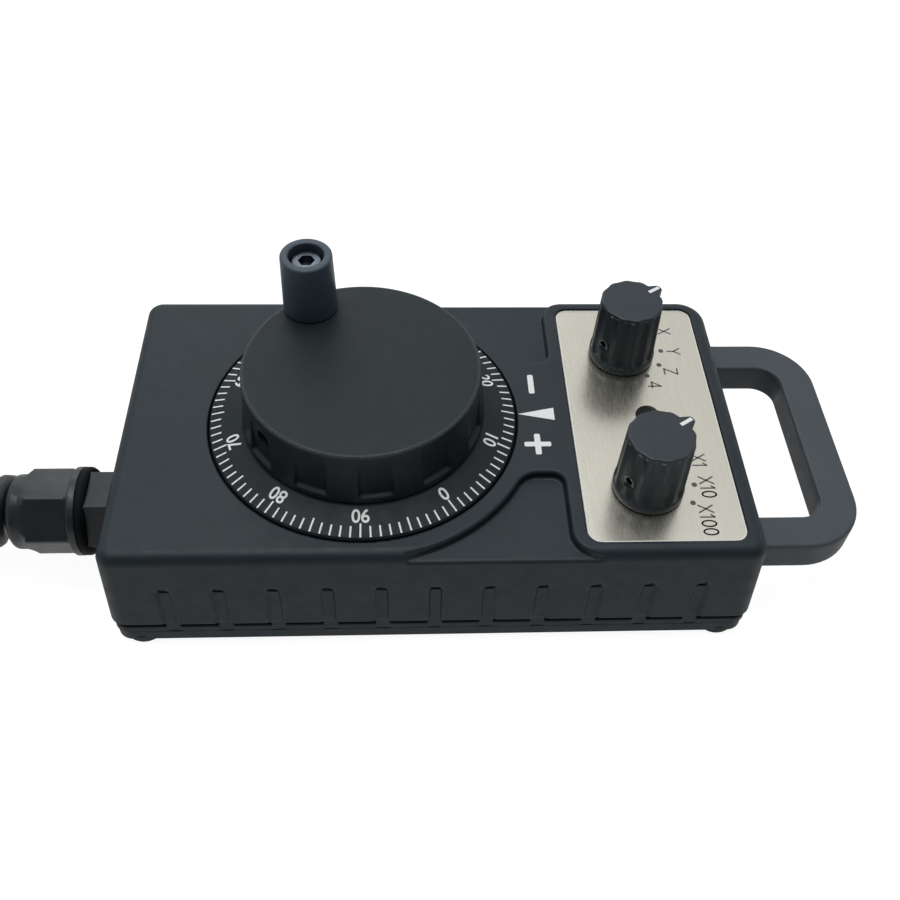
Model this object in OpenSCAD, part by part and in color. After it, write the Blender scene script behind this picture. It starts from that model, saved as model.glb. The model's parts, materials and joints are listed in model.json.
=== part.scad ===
// Handheld manual pulse generator: a pendant with a 100-division handwheel and its crank grip,
// two rotary selectors on a metal plate, a carry handle and a curly cord.
// Millimetres. +Z is up, +X points to the carry handle, -Y is the side that faces the user.
// The origin is under the middle of the casing, on the surface that the feet stand on.

/* [Casing] */
// Length of the casing at its top face, along X
case_l = 118; // [116:1:124]
// Width of the casing at its top face, along Y
case_w = 66; // [66:1:72]
// Height of the top face above the floor
case_top = 26.9; // [26.8:0.1:28]
// Height of the casing's lower edge above the floor
case_bottom = 1.8; // [1.6:0.1:2]
// Slope of the side walls, degrees from upright
draft = 3.2; // [2:0.2:4]
// Radius of the upright corners
corner_r = 3; // [2.6:0.2:5]
// Roundover of the top edge
edge_r = 2.2; // [1:0.2:2.4]
// Wall thickness
wall = 2.5; // [2:0.1:2.8]

/* [Grip pads] */
// Number of slots in each long wall
slots = 11; // [5:2:11]
// Distance between slots
slot_pitch = 9.7; // [8:0.1:10]
// Width of a slot
slot_w = 2.1; // [1.5:0.1:3]
// Depth of the slots and of the strip under the pads
relief = 0.6; // [0.3:0.1:0.8]
// Height of the rounded slot tops above the floor
slot_top = 17.9; // [13:0.1:21]
// Height of the pads' lower ledge above the floor
ledge_z = 7.1; // [6.4:0.1:8.2]

/* [Top notches] */
// Depth of the thumb notches beside the dial
notch_depth = 1.8; // [0.8:0.1:2]
// Radius of the notch's edge round the dial
notch_r = 33.2; // [32:0.2:35]
// Distance of the notch's straight edge from the middle
notch_y = 14.4; // [12:0.2:18]

/* [Dial] */
// Distance of the dial's axis from the middle, along X
dial_x = -13.2; // [-14:0.2:-12]
// Radius of the graduated dial
dial_r = 29.35; // [28:0.05:29.4]
// Gap round the dial
dial_gap = 0.35; // [0.3:0.05:0.6]

/* [Handwheel] */
// Radius of the knob at its foot
knob_r = 23.1; // [22:0.1:23.2]
// Height of the knob
knob_h = 11.45; // [10:0.05:13]
// Number of finger pockets round the knob
pockets = 12; // [8:1:16]
// Depth of a finger pocket
pocket_depth = 0.8; // [0.4:0.1:1.2]
// Distance of the crank grip's axis from the dial's axis
crank_r = 18.9; // [17:0.1:19]
// Direction of the crank grip, degrees from +X
crank_angle = 122; // [100:1:140]
// Height of the crank grip
grip_h = 12.4; // [11:0.2:16]
// Radius of the crank grip at its foot
grip_r = 5.2; // [4.8:0.1:5.6]

/* [Selectors] */
// Distance of the selectors' axes from the middle, along X
selector_x = 39.3; // [39:0.1:40]
// Distance of each selector's axis from the middle line
selector_y = 17.4; // [17:0.1:17.8]
// Shift of both selectors from the middle line
selector_shift = -0.4; // [-0.6:0.1:0]
// Radius of a selector knob at its base ring
selector_r = 6.6; // [6.4:0.1:7]
// Height of a selector knob
selector_h = 14.35; // [13:0.05:16]
// Number of flutes round a selector knob
flutes = 12; // [8:2:16]
// Direction that both selector pointers show, degrees from +X
pointer_angle = 33; // [0:1:60]

/* [Face plate] */
// Length of the face plate, along X
plate_l = 28.7; // [27:0.1:29]
// Width of the face plate, along Y
plate_w = 60.1; // [58:0.1:60.5]
// Distance of the face plate's left edge from the middle
plate_x = 27; // [27:0.1:28]
// Thickness of the face plate
plate_t = 1; // [0.8:0.1:1.2]
// How far the face plate lies below the casing's top
plate_drop = 0.5; // [0.3:0.1:0.6]

/* [Carry handle] */
// Reach of the handle from the middle, along X
handle_reach = 81; // [78:1:90]
// Width of the handle across its outer faces
handle_w = 52.1; // [51:0.1:53]
// Height of the handle's bar
handle_h = 6.9; // [6:0.1:7.2]
// Width of the handle's bar, seen from above
handle_bar = 6.2; // [5.8:0.1:6.6]
// Height of the handle's middle above the floor
handle_z = 16.1; // [15.7:0.1:16.5]

/* [Cable gland] */
// Distance of the gland's axis from the middle line
gland_y = -13.2; // [-14:0.1:-12]
// Height of the gland's axis above the floor
gland_z = 14.6; // [14.3:0.1:14.9]
// Hexagon of the gland's body, across its flats
gland_af = 14.6; // [14:0.1:15.5]
// Outer diameter of the curly cord
cord_d = 13.1; // [12:0.1:13.2]

/* [Hidden] */
$fn = 96;
eps = 0.01;          // how far a cutter runs past the face it opens
fit = 0.05;          // radial gap round a screw, a pin or a running shaft
seat = 0.15;         // gap round a piece that drops into a pocket
slope = tan(draft);  // how far a wall moves out for each unit of depth

// Casing levels and half sizes
half_l = case_l / 2;
half_w = case_w / 2;
gasket_t = 0.3;
cover_top = case_bottom + 2.3;
shell_foot = cover_top + gasket_t;
ceiling = case_top - 4.8;
notch_floor = case_top - notch_depth;
inner_corner_r = 1;
boss_x = 46.5;
boss_y = 28.5;
boss_r = 2.9;
boss_foot = cover_top + 2;
foot_x = 55.4;
foot_y = 30.3;
foot_r = 3.1;
foot_sink = 0.8;

// Dial and encoder levels
recess_r = dial_r + dial_gap;
recess_floor = case_top - 3.9;
flange_under = recess_floor + gasket_t;
flange_top = flange_under + 2;
mount_ring_foot = recess_floor - 2.1;
encoder_r = 25;
encoder_foot = 9.5;
encoder_roof = flange_under - 1.6;
encoder_bore_r = 23.2;
encoder_screw_r = 27.3;
encoder_flange_r = 29.3;
encoder_screw_angles = [90, 210, 330];
post_r = 2;
post_circle = 21;
post_angles = [30, 150, 270];
shaft_r = 3;
shaft_foot = 7.3;
shaft_top = case_top + 8.2;
bearing_r = 6.5;
bearing_foot = 17.5;
bearing_h = 3.5;
dial_foot = flange_top + 0.4;
dial_flat = case_top + 1.9;
dial_flat_r = 23.4;
dial_hub_r = 3.6;
disc_z = 14.7;
disc_r = 18.7;
disc_t = 0.4;
board_foot = 12.1;
board_t = 1.2;
detent_z = 10.1;
detent_t = 1.2;
detent_r = 17.5;
detent_teeth = 100;

// Knob and crank levels
knob_foot = dial_flat + 0.25;
knob_top = knob_foot + knob_h;
knob_top_r = knob_r - 0.75;
knob_wall = 2.6;
knob_roof = knob_top - 3;
pocket_foot = knob_foot + 1.55;
pocket_top = knob_top - 1.1;
pocket_width = 15;
pocket_start = -53;
knob_screw_angle = -141.4;
knob_screw_z = knob_top - 4.7;
knob_boss_circle = 14;
knob_boss_angles = [60, 180, 300];
grip_foot = knob_top + 0.15;
grip_top = grip_foot + grip_h;
grip_shelf = grip_foot + 6.4;
crank_x = crank_r * cos(crank_angle);
crank_y = crank_r * sin(crank_angle);
crank_pin_r = 2;
crank_head_r = 3.1;

// Selector levels
plate_top = case_top - plate_drop;
plate_under = plate_top - plate_t;
selector_foot = plate_top + 0.25;
selector_top = selector_foot + selector_h;
selector_ring_h = 2.3;
selector_top_r = selector_r - 0.6;
switch_seat = ceiling;
switch_pocket = ceiling + 1.6;
switch_bush_r = 4.5;
switch_r = 8;
pcb_top = 12.3;
pcb_t = 1.6;
pcb_x = 40.4;
selector_screw_z = selector_foot + 6.1;
led_x = 42.2;
led_r = 2.25;

// Handle
handle_seat = half_l - 1;
handle_corner = 8;
handle_leg_y = (handle_w - handle_bar) / 2;
handle_pad = 53.8;

// Gland, along -X from the wall
gland_seat = half_l + 0.15;
gland_stub_r = 6.25;
gland_hex_end = 64.5;
gland_flange_end = 66.1;
gland_nut_foot = 66.2;
gland_spigot_end = 74.5;
gland_nut_end = 76.4;
gland_end = 79.3;
seal_foot = 70.1;
seal_end = 76.5;
wire_r = 2.25;

// Curly cord: the middle line of its coil, from the gland to the connector
cord_end = -146;
connector_r = 8;
cord_y = 26.8;
cord_low = cord_d / 2;
cord_route = [
    [-gland_end, gland_y, gland_z], [-88, gland_y, gland_z], [-95, gland_y, 14], [-102, gland_y, 12.8],
    [-110, gland_y, 11.2], [-118, gland_y, 9.5], [-126, gland_y, 8.1], [-134, gland_y, 7.1],
    [-142, gland_y, cord_low], [-152, gland_y, cord_low], [-164, gland_y, cord_low],
    [-176, gland_y, cord_low], [-188, gland_y, cord_low], [-202, gland_y, cord_low],
    [-215, gland_y, cord_low], [-222.7, -11.7, cord_low], [-229.1, -7.3, cord_low],
    [-233.5, -0.9, cord_low], [-235, 6.8, cord_low], [-233.5, 14.5, cord_low],
    [-229.1, 20.9, cord_low], [-222.7, 25.3, cord_low], [-215, cord_y, cord_low],
    [-202, cord_y, cord_low], [-190, cord_y, cord_low], [-178, cord_y, cord_low],
    [-166, cord_y, cord_low], [-156, cord_y, cord_low], [cord_end, cord_y, cord_low]
];
cord_sides = 12;

// ---------------------------------------------------------------- shared shapes

// Half size of the casing at height z
function half_at(half, z) = half + slope * (case_top - z);

// A rectangle with round corners, in the XY plane
module rounded_rect(size_x, size_y, r) {
    square([size_x - 2 * r, size_y], center = true);
    square([size_x, size_y - 2 * r], center = true);
    for (sx = [-1, 1], sy = [-1, 1])
        translate([sx * (size_x / 2 - r), sy * (size_y / 2 - r)]) circle(r = r);
}

// A block with the casing's sloping walls, between two heights
module sloped_block(foot, top, inset, r) {
    h = top - foot;
    hull()
        for (sx = [-1, 1], sy = [-1, 1])
            translate([
                sx * (half_at(half_l, top) - inset - r),
                sy * (half_at(half_w, top) - inset - r),
                foot
            ])
                cylinder(h = h, r1 = r + slope * h, r2 = r, $fn = 32);
}

// The casing's upper block, with its top edge rounded over
module crowned_block(foot) {
    shoulder = case_top - edge_r;
    h = shoulder - foot;
    hull()
        for (sx = [-1, 1], sy = [-1, 1])
            translate([
                sx * (half_at(half_l, shoulder) - corner_r),
                sy * (half_at(half_w, shoulder) - corner_r),
                0
            ]) {
                translate([0, 0, foot]) cylinder(h = h, r1 = corner_r + slope * h, r2 = corner_r, $fn = 32);
                translate([0, 0, shoulder])
                    rotate_extrude($fn = 32)
                        translate([corner_r - edge_r, 0])
                            intersection() {
                                circle(r = edge_r, $fn = 32);
                                square([edge_r, edge_r]);
                            }
            }
}

// A ring or a plain washer
module ring(foot, top, outer_r, inner_r) {
    difference() {
        translate([0, 0, foot]) cylinder(h = top - foot, r = outer_r);
        translate([0, 0, foot - 1]) cylinder(h = top - foot + 2, r = inner_r);
    }
}

// A screw that points up, with its head's underside at the origin
module screw_up(shank_r, shank_l, head_r, head_h, key_r) {
    difference() {
        union() {
            cylinder(h = shank_l, r = shank_r, $fn = 48);
            translate([0, 0, -head_h]) cylinder(h = head_h, r = head_r, $fn = 48);
        }
        translate([0, 0, -head_h - eps]) cylinder(h = head_h * 0.6, r = key_r, $fn = 6);
    }
}

// Places a shape at both ends of a list of points
module at_corners(x, y) {
    for (sx = [-1, 1], sy = [-1, 1]) translate([sx * x, sy * y, 0]) children();
}

module at_dial() {
    translate([dial_x, 0, 0]) children();
}

module round_dial(circle_r, angles) {
    at_dial()
        for (a = angles) translate([circle_r * cos(a), circle_r * sin(a), 0]) children();
}

module at_selector(side) {
    translate([selector_x, selector_shift + side * selector_y, 0]) children();
}

// Turns +Z to -X, on the gland's axis, so that heights count outwards from the middle
module along_gland() {
    translate([0, gland_y, gland_z]) rotate([0, -90, 0]) children();
}

module along_connector() {
    translate([0, cord_y, connector_r]) rotate([0, 90, 0]) children();
}

// ---------------------------------------------------------------- casing

// One wall slot, seen square to the wall: straight sides and a round top
module slot_outline() {
    reach = slot_top - case_bottom;
    translate([-slot_w / 2, -2]) square([slot_w, reach + 2 - slot_w / 2]);
    translate([0, reach - slot_w / 2]) circle(d = slot_w, $fn = 32);
}

module wall_slots() {
    for (side = [0, 1])
        mirror([0, side, 0])
            for (k = [-(slots - 1) / 2 : (slots - 1) / 2])
                translate([k * slot_pitch, -half_at(half_w, case_bottom), case_bottom])
                    rotate([90 - draft, 0, 0])
                        translate([0, 0, -relief])
                            linear_extrude(height = relief + 2) slot_outline();
}

// The thumb notch beside the dial, seen from above, on the -Y side
module notch_outline() {
    corner_round = 2.3;
    right_edge = 24.1;
    flare_r = 5;
    offset(r = corner_round, $fn = 48) offset(delta = -corner_round)
        difference() {
            translate([dial_x + 8, -half_w - 9]) square([right_edge - dial_x - 8, half_w + 9 - notch_y]);
            translate([dial_x, 0]) circle(r = notch_r, $fn = 144);
        }
    difference() {
        translate([right_edge - eps, -half_w - 9]) square([flare_r, half_w + 9 - 27.5]);
        translate([right_edge + flare_r, -27.5]) circle(r = flare_r, $fn = 64);
    }
}

module top_notches() {
    for (side = [0, 1])
        mirror([0, side, 0])
            translate([0, 0, notch_floor]) linear_extrude(height = notch_depth + 1) notch_outline();
}

module housing_shell() {
    pad_l = half_l - handle_pad;
    color("#3b3d40")
        difference() {
            union() {
                difference() {
                    union() {
                        crowned_block(ledge_z);
                        sloped_block(shell_foot, ledge_z + 1, relief, corner_r);
                    }
                    sloped_block(shell_foot - 1, ceiling, wall, inner_corner_r);
                }
                // ring that carries the pulse encoder
                at_dial()
                    translate([0, 0, mount_ring_foot])
                        cylinder(h = ceiling - mount_ring_foot + 1, r = half_w - wall + 0.4);
                // pillars for the cover's screws
                at_corners(boss_x, boss_y)
                    translate([0, 0, boss_foot]) cylinder(h = ceiling - boss_foot + 1, r = boss_r);
                // pads behind the handle's legs
                for (side = [-1, 1])
                    translate([handle_pad, side * handle_leg_y - 4.5, handle_z - 4.8])
                        cube([pad_l, 9, 9.6]);
                // pad behind the gland
                along_gland() translate([0, 0, half_l - 3.5]) cylinder(h = 3.5, r = 8.3);
            }
            wall_slots();
            top_notches();
            // recess and opening for the dial and the encoder
            at_dial() {
                translate([0, 0, recess_floor]) cylinder(h = 10, r = recess_r, $fn = 144);
                translate([0, 0, mount_ring_foot - 1]) cylinder(h = 10, r = encoder_r + 0.3);
            }
            round_dial(encoder_screw_r, encoder_screw_angles)
                translate([0, 0, mount_ring_foot - 1]) cylinder(h = 10, r = 1.6, $fn = 48);
            // recess for the face plate, with the switches' openings
            translate([plate_x + plate_l / 2, 0, plate_under])
                linear_extrude(height = 5) rounded_rect(plate_l + 2 * seat, plate_w + 2 * seat, 4 + seat);
            for (side = [-1, 1])
                at_selector(side) {
                    translate([0, 0, ceiling - 1]) cylinder(h = 5, r = switch_bush_r + 0.1);
                    translate([0, 0, switch_pocket]) cylinder(h = 5, r = 7.3);
                }
            translate([led_x, 0, ceiling - 1]) cylinder(h = 6, r = led_r + seat, $fn = 48);
            // blind holes for the cover's screws
            at_corners(boss_x, boss_y)
                translate([0, 0, boss_foot - 1]) cylinder(h = 11, r = 1.5 + fit, $fn = 48);
            // pockets and screw holes for the handle's legs
            for (side = [-1, 1])
                translate([0, side * handle_leg_y, handle_z])
                    rotate([0, 90, 0]) {
                        translate([0, 0, handle_seat])
                            linear_extrude(height = 6)
                                rounded_rect(handle_h + 2 * seat, handle_bar + 2 * seat, 0.9 + seat);
                        translate([0, 0, handle_pad - 1]) cylinder(h = 8, r = 2.2, $fn = 48);
                    }
            // flat seat and opening for the gland
            along_gland() {
                translate([0, 0, gland_seat]) cylinder(h = 5, r = 9);
                translate([0, 0, half_l - 6]) cylinder(h = 9, r = gland_stub_r + 0.1);
            }
        }
}

module bottom_cover() {
    lip_top = cover_top + 1.8;
    lip_t = 1.2;
    lip_gap = 0.2;
    color("#35373a")
        difference() {
            union() {
                sloped_block(case_bottom, cover_top, relief, corner_r);
                difference() {
                    sloped_block(cover_top - 1, lip_top, wall + lip_gap, inner_corner_r);
                    sloped_block(cover_top, lip_top + 1, wall + lip_gap + lip_t, inner_corner_r);
                }
                at_corners(boss_x, boss_y)
                    translate([0, 0, cover_top - 1]) cylinder(h = lip_top - cover_top + 1, r = 2.8);
            }
            at_corners(boss_x, boss_y) {
                translate([0, 0, case_bottom - 1]) cylinder(h = 3, r = 2.95, $fn = 48);
                translate([0, 0, case_bottom - 1]) cylinder(h = 8, r = 1.6, $fn = 48);
            }
            at_corners(foot_x, foot_y)
                translate([0, 0, case_bottom - 1]) cylinder(h = 1 + foot_sink, r = foot_r + fit, $fn = 48);
        }
}

module cover_gasket() {
    color("#141414")
        difference() {
            sloped_block(cover_top, shell_foot, relief + 0.4, corner_r);
            sloped_block(cover_top - 1, shell_foot + 1, relief + 1.6, corner_r - 0.5);
        }
}

module cover_screws() {
    color("#8d8f92")
        at_corners(boss_x, boss_y)
            translate([0, 0, case_bottom + 2]) screw_up(1.5, 10, 2.75, 1.8, 1.2);
}

module rubber_feet() {
    edge = 0.9;
    foot_top = case_bottom + foot_sink;
    color("#1a1a1b")
        at_corners(foot_x, foot_y)
            rotate_extrude($fn = 48) {
                square([foot_r - edge, foot_top]);
                translate([0, edge]) square([foot_r, foot_top - edge]);
                translate([foot_r - edge, edge]) circle(r = edge, $fn = 32);
            }
}

// ---------------------------------------------------------------- carry handle

module handle_section() {
    rounded_rect(handle_bar, handle_h, 0.9);
}

module carry_handle() {
    corner_x = handle_reach - handle_bar / 2 - handle_corner;
    corner_y = handle_leg_y - handle_corner;
    color("#3b3d40")
        translate([0, 0, handle_z])
            difference() {
                union() {
                    translate([corner_x + handle_corner, corner_y, 0])
                        rotate([90, 0, 0]) linear_extrude(height = 2 * corner_y) handle_section();
                    for (side = [0, 1])
                        mirror([0, side, 0]) {
                            translate([corner_x, corner_y, 0])
                                rotate_extrude(angle = 90) translate([handle_corner, 0]) handle_section();
                            translate([handle_seat, handle_leg_y, 0])
                                rotate([90, 0, 90])
                                    linear_extrude(height = corner_x - handle_seat) handle_section();
                        }
                }
                for (side = [-1, 1])
                    translate([handle_seat - 1, side * handle_leg_y, 0])
                        rotate([0, 90, 0]) cylinder(h = 12, r = 2 + fit, $fn = 48);
            }
}

module handle_screws() {
    color("#8d8f92")
        for (side = [-1, 1])
            translate([handle_pad, side * handle_leg_y, handle_z])
                rotate([0, 90, 0]) screw_up(2, 14, 3.4, 2.6, 1.7);
}

// ---------------------------------------------------------------- face plate and indicator

module face_plate() {
    color("#d2d3d2")
        difference() {
            translate([plate_x + plate_l / 2, 0, plate_under])
                linear_extrude(height = plate_t) rounded_rect(plate_l, plate_w, 4);
            for (side = [-1, 1])
                at_selector(side) translate([0, 0, plate_under - 1]) cylinder(h = 4, r = 4.7);
            translate([led_x, 0, plate_under - 1]) cylinder(h = 4, r = led_r + seat, $fn = 48);
        }
}

module indicator_led() {
    lens_top = plate_top + 0.3;
    lens_foot = pcb_top + 3.8;
    color("#202225")
        translate([led_x, 0, 0]) {
            translate([0, 0, lens_foot]) cylinder(h = lens_top - lens_foot, r = led_r, $fn = 48);
            translate([0, 0, lens_top])
                intersection() {
                    cylinder(h = led_r, r = led_r, $fn = 48);
                    translate([0, 0, -1.6]) sphere(r = 2.76, $fn = 48);
                }
            for (side = [-1, 1])
                translate([side * 1.27 - 0.25, -0.25, pcb_top - 2.2]) cube([0.5, 0.5, 6.1]);
        }
}

// ---------------------------------------------------------------- selector switches

// A round 12-step rotary switch under the top wall, with its threaded bush and its pins
module rotary_switch() {
    color("#23262b")
        difference() {
            union() {
                translate([0, 0, pcb_top]) cylinder(h = switch_seat - pcb_top, r = switch_r);
                translate([0, 0, switch_seat - 1])
                    cylinder(h = plate_under - switch_seat + 0.8, r = switch_bush_r);
            }
            translate([0, 0, pcb_top + 1.5]) cylinder(h = 20, r = shaft_r + fit);
        }
    color("#c9b458")
        for (a = [0 : 45 : 315])
            rotate(a) translate([6.4, 0, pcb_top - pcb_t - 0.8])
                cylinder(h = pcb_t + 0.8, r = 0.4, $fn = 16);
}

module switch_shaft(pointer) {
    foot = pcb_top + 1.7;
    top = selector_top - 3.2;
    color("#a9abad")
        difference() {
            translate([0, 0, foot]) cylinder(h = top - foot, r = shaft_r);
            // flat that the set screw bears on, opposite the pointer
            rotate(pointer + 180)
                translate([shaft_r - 0.5, -shaft_r, selector_foot + 1]) cube([2, 2 * shaft_r, 20]);
        }
}

// A fluted pointer knob: base ring, tapering body, and a nose that carries the pointer's line
module selector_knob(pointer) {
    body_h = selector_h - selector_ring_h;
    flute_r = 1.05;
    flute_depth = 0.42;
    taper = atan((selector_r - 0.2 - selector_top_r) / body_h);
    color("#26282b")
        difference() {
            union() {
                rotate_extrude()
                    polygon([
                        [0, selector_foot],
                        [selector_r - 0.2, selector_foot],
                        [selector_r, selector_foot + 0.3],
                        [selector_r, selector_foot + selector_ring_h - 0.4],
                        [selector_r - 0.2, selector_foot + selector_ring_h],
                        [selector_top_r, selector_top - 0.4],
                        [selector_top_r - 0.4, selector_top],
                        [0, selector_top]
                    ]);
                rotate(pointer)
                    translate([0, 0, selector_foot + selector_ring_h - 0.3])
                        linear_extrude(height = body_h)
                            polygon([[4, -1.6], [6.1, -1.15], [7.6, -0.45], [7.6, 0.45], [6.1, 1.15], [4, 1.6]]);
            }
            for (k = [0 : flutes - 1])
                rotate(pointer + (k + 0.5) * 360 / flutes)
                    translate([selector_r - 0.2 + flute_r - flute_depth, 0, selector_foot + selector_ring_h + 0.3])
                        rotate([0, -taper, 0]) {
                            cylinder(h = selector_h, r = flute_r, $fn = 32);
                            sphere(r = flute_r, $fn = 32);
                        }
            // bore for the shaft, and the hole of the set screw
            translate([0, 0, selector_foot - 1]) cylinder(h = selector_h - 2, r = shaft_r + 0.02);
            rotate(pointer + 180)
                translate([0, 0, selector_screw_z]) rotate([0, 90, 0]) cylinder(h = 10, r = 1.4, $fn = 48);
        }
}

module selector_set_screw(pointer) {
    color("#5c5e60")
        rotate(pointer + 180)
            translate([shaft_r - 0.5, 0, selector_screw_z])
                rotate([0, 90, 0])
                    difference() {
                        cylinder(h = 2.6, r = 1.35, $fn = 48);
                        translate([0, 0, 1.4]) cylinder(h = 2, r = 0.75, $fn = 6);
                    }
}

module axis_switch() {
    at_selector(1) rotary_switch();
}

module multiplier_switch() {
    at_selector(-1) rotary_switch();
}

module axis_shaft() {
    at_selector(1) switch_shaft(pointer_angle);
}

module multiplier_shaft() {
    at_selector(-1) switch_shaft(pointer_angle);
}

module axis_knob() {
    at_selector(1) selector_knob(pointer_angle);
}

module multiplier_knob() {
    at_selector(-1) selector_knob(pointer_angle);
}

module axis_set_screw() {
    at_selector(1) selector_set_screw(pointer_angle);
}

module multiplier_set_screw() {
    at_selector(-1) selector_set_screw(pointer_angle);
}

module switch_washers() {
    color("#8d8f92")
        for (side = [-1, 1])
            at_selector(side) ring(switch_pocket, switch_pocket + 0.4, 6.8, switch_bush_r + fit);
}

module switch_nuts() {
    color("#8d8f92")
        for (side = [-1, 1])
            at_selector(side)
                difference() {
                    translate([0, 0, switch_pocket + 0.4]) cylinder(h = 1.2, d = 12 / cos(30), $fn = 6);
                    translate([0, 0, switch_pocket]) cylinder(h = 4, r = switch_bush_r + fit);
                }
}

// Board under the switches; their pins are soldered into it
module control_pcb() {
    color("#1f6b46")
        difference() {
            translate([pcb_x, 0, pcb_top - pcb_t]) linear_extrude(height = pcb_t) rounded_rect(25.8, 50.4, 1.5);
            for (side = [-1, 1])
                at_selector(side)
                    for (a = [0 : 45 : 315])
                        rotate(a) translate([6.4, 0, pcb_top - 4]) cylinder(h = 8, r = 0.6, $fn = 16);
            translate([led_x, 0, pcb_top - 4]) cylinder(h = 8, r = 2, $fn = 32);
        }
    // socket for the ribbon
    color("#e4e1d6") translate([28.4, 19, pcb_top]) cube([3, 6, 5]);
}

// ---------------------------------------------------------------- pulse encoder

module encoder_housing() {
    color("#2a2c2f")
        difference() {
            union() {
                at_dial()
                    difference() {
                        union() {
                            translate([0, 0, encoder_foot])
                                cylinder(h = flange_top - encoder_foot, r = encoder_r);
                            translate([0, 0, flange_under])
                                cylinder(h = flange_top - flange_under, r = encoder_flange_r);
                        }
                        translate([0, 0, encoder_foot - 1])
                            cylinder(h = encoder_roof - encoder_foot + 1, r = encoder_bore_r);
                    }
                at_dial()
                    translate([0, 0, bearing_foot - 0.8])
                        cylinder(h = encoder_roof - bearing_foot + 1.8, r = 8.5);
                round_dial(post_circle, post_angles)
                    translate([0, 0, encoder_foot + 0.5])
                        cylinder(h = encoder_roof - encoder_foot + 0.5, r = post_r, $fn = 48);
            }
            at_dial() {
                translate([0, 0, bearing_foot - 2]) cylinder(h = bearing_h + 2, r = bearing_r + fit);
                translate([0, 0, bearing_foot]) cylinder(h = 12, r = shaft_r + 0.6);
            }
            round_dial(post_circle, post_angles)
                translate([0, 0, encoder_foot - 1]) cylinder(h = 8, r = 1 + fit, $fn = 32);
            round_dial(encoder_screw_r, encoder_screw_angles)
                translate([0, 0, flange_under - 1]) cylinder(h = 2.7, r = 1.45 + fit, $fn = 48);
        }
}

module encoder_gasket() {
    color("#141414")
        difference() {
            at_dial() ring(recess_floor, flange_under, encoder_flange_r, encoder_r + 0.3);
            round_dial(encoder_screw_r, encoder_screw_angles)
                translate([0, 0, recess_floor - 1]) cylinder(h = 3, r = 1.6, $fn = 48);
        }
}

module encoder_screws() {
    color("#8d8f92")
        round_dial(encoder_screw_r, encoder_screw_angles)
            translate([0, 0, mount_ring_foot]) screw_up(1.45, 3.9, 2.05, 2, 1.1);
}

module encoder_rear_cap() {
    color("#2a2c2f")
        difference() {
            at_dial() {
                translate([0, 0, encoder_foot - 1.5]) cylinder(h = 1.5, r = encoder_r);
                translate([0, 0, encoder_foot - 1]) ring(0, 1.4, encoder_bore_r - 0.1, encoder_bore_r - 1.2);
            }
            at_dial() cylinder(h = 20, r = 4.5 + fit);
            round_dial(post_circle, post_angles) {
                cylinder(h = 20, r = 1.1, $fn = 32);
                translate([0, 0, encoder_foot]) cylinder(h = 10, r = post_r + 0.2, $fn = 48);
            }
        }
}

module encoder_cap_screws() {
    color("#8d8f92")
        round_dial(post_circle, post_angles)
            translate([0, 0, encoder_foot - 1.5]) screw_up(1, 7, 1.9, 1.3, 0.8);
}

module front_bearing() {
    color("#b4b6b8")
        at_dial()
            translate([0, 0, bearing_foot])
                rotate_extrude()
                    difference() {
                        translate([shaft_r + 0.02, 0]) square([bearing_r - shaft_r - 0.02, bearing_h]);
                        translate([4.2, -eps]) square([1.2, 0.4]);
                        translate([4.2, bearing_h - 0.4]) square([1.2, 1]);
                    }
}

module rear_bush() {
    color("#b08d4f")
        at_dial() {
            ring(encoder_foot - 1.5, encoder_foot + 0.3, 4.5, shaft_r + 0.03);
            translate([0, 0, encoder_foot - 2.3]) ring(0, 0.8, 5.6, shaft_r + 0.03);
        }
}

// Ring-shaped board inside the encoder, notched round the posts
module encoder_pcb() {
    color("#1f6b46")
        difference() {
            at_dial() ring(board_foot, board_foot + board_t, encoder_bore_r - 0.3, 7.5);
            round_dial(post_circle, post_angles)
                translate([0, 0, board_foot - 1]) cylinder(h = 4, r = post_r + 0.2, $fn = 48);
        }
}

// Forked light sensor that straddles the code disc
module optical_sensor() {
    color("#17181a")
        at_dial()
            rotate(200)
                difference() {
                    translate([14, -3.5, board_foot + board_t]) cube([8, 7, 4.2]);
                    translate([13, -4, disc_z - 0.5]) cube([7.2, 8, disc_t + 1]);
                }
}

// Magnet that pulls the toothed wheel from click to click
module detent_magnet() {
    color("#6f7174")
        at_dial()
            rotate(90)
                translate([detent_r + 0.5, -3, encoder_foot]) cube([3.6, 6, 2.4]);
}

module encoder_shaft() {
    color("#a9abad")
        at_dial()
            difference() {
                translate([0, 0, shaft_foot]) cylinder(h = shaft_top - shaft_foot, r = shaft_r);
                // flat for the knob's set screw
                rotate(knob_screw_angle)
                    translate([shaft_r - 0.5, -shaft_r, knob_foot]) cube([2, 2 * shaft_r, 20]);
            }
}

module code_disc() {
    color("#9fb4c0")
        at_dial() {
            ring(disc_z, disc_z + disc_t, disc_r, shaft_r + fit);
            ring(disc_z - 1, disc_z + 1.6, 6, shaft_r + fit);
        }
}

// One tooth for each division of the dial
module detent_wheel() {
    step = 360 / detent_teeth;
    color("#77797c")
        at_dial()
            difference() {
                union() {
                    translate([0, 0, detent_z])
                        linear_extrude(height = detent_t)
                            polygon([
                                for (k = [0 : 2 * detent_teeth - 1])
                                    let (r = k % 2 == 0 ? detent_r : detent_r - 0.6)
                                        [r * cos(k * step / 2), r * sin(k * step / 2)]
                            ]);
                    translate([0, 0, detent_z]) cylinder(h = 3, r = 6);
                }
                translate([0, 0, detent_z - 1]) cylinder(h = 6, r = shaft_r + fit);
            }
}

// ---------------------------------------------------------------- dial, knob and crank

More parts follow.
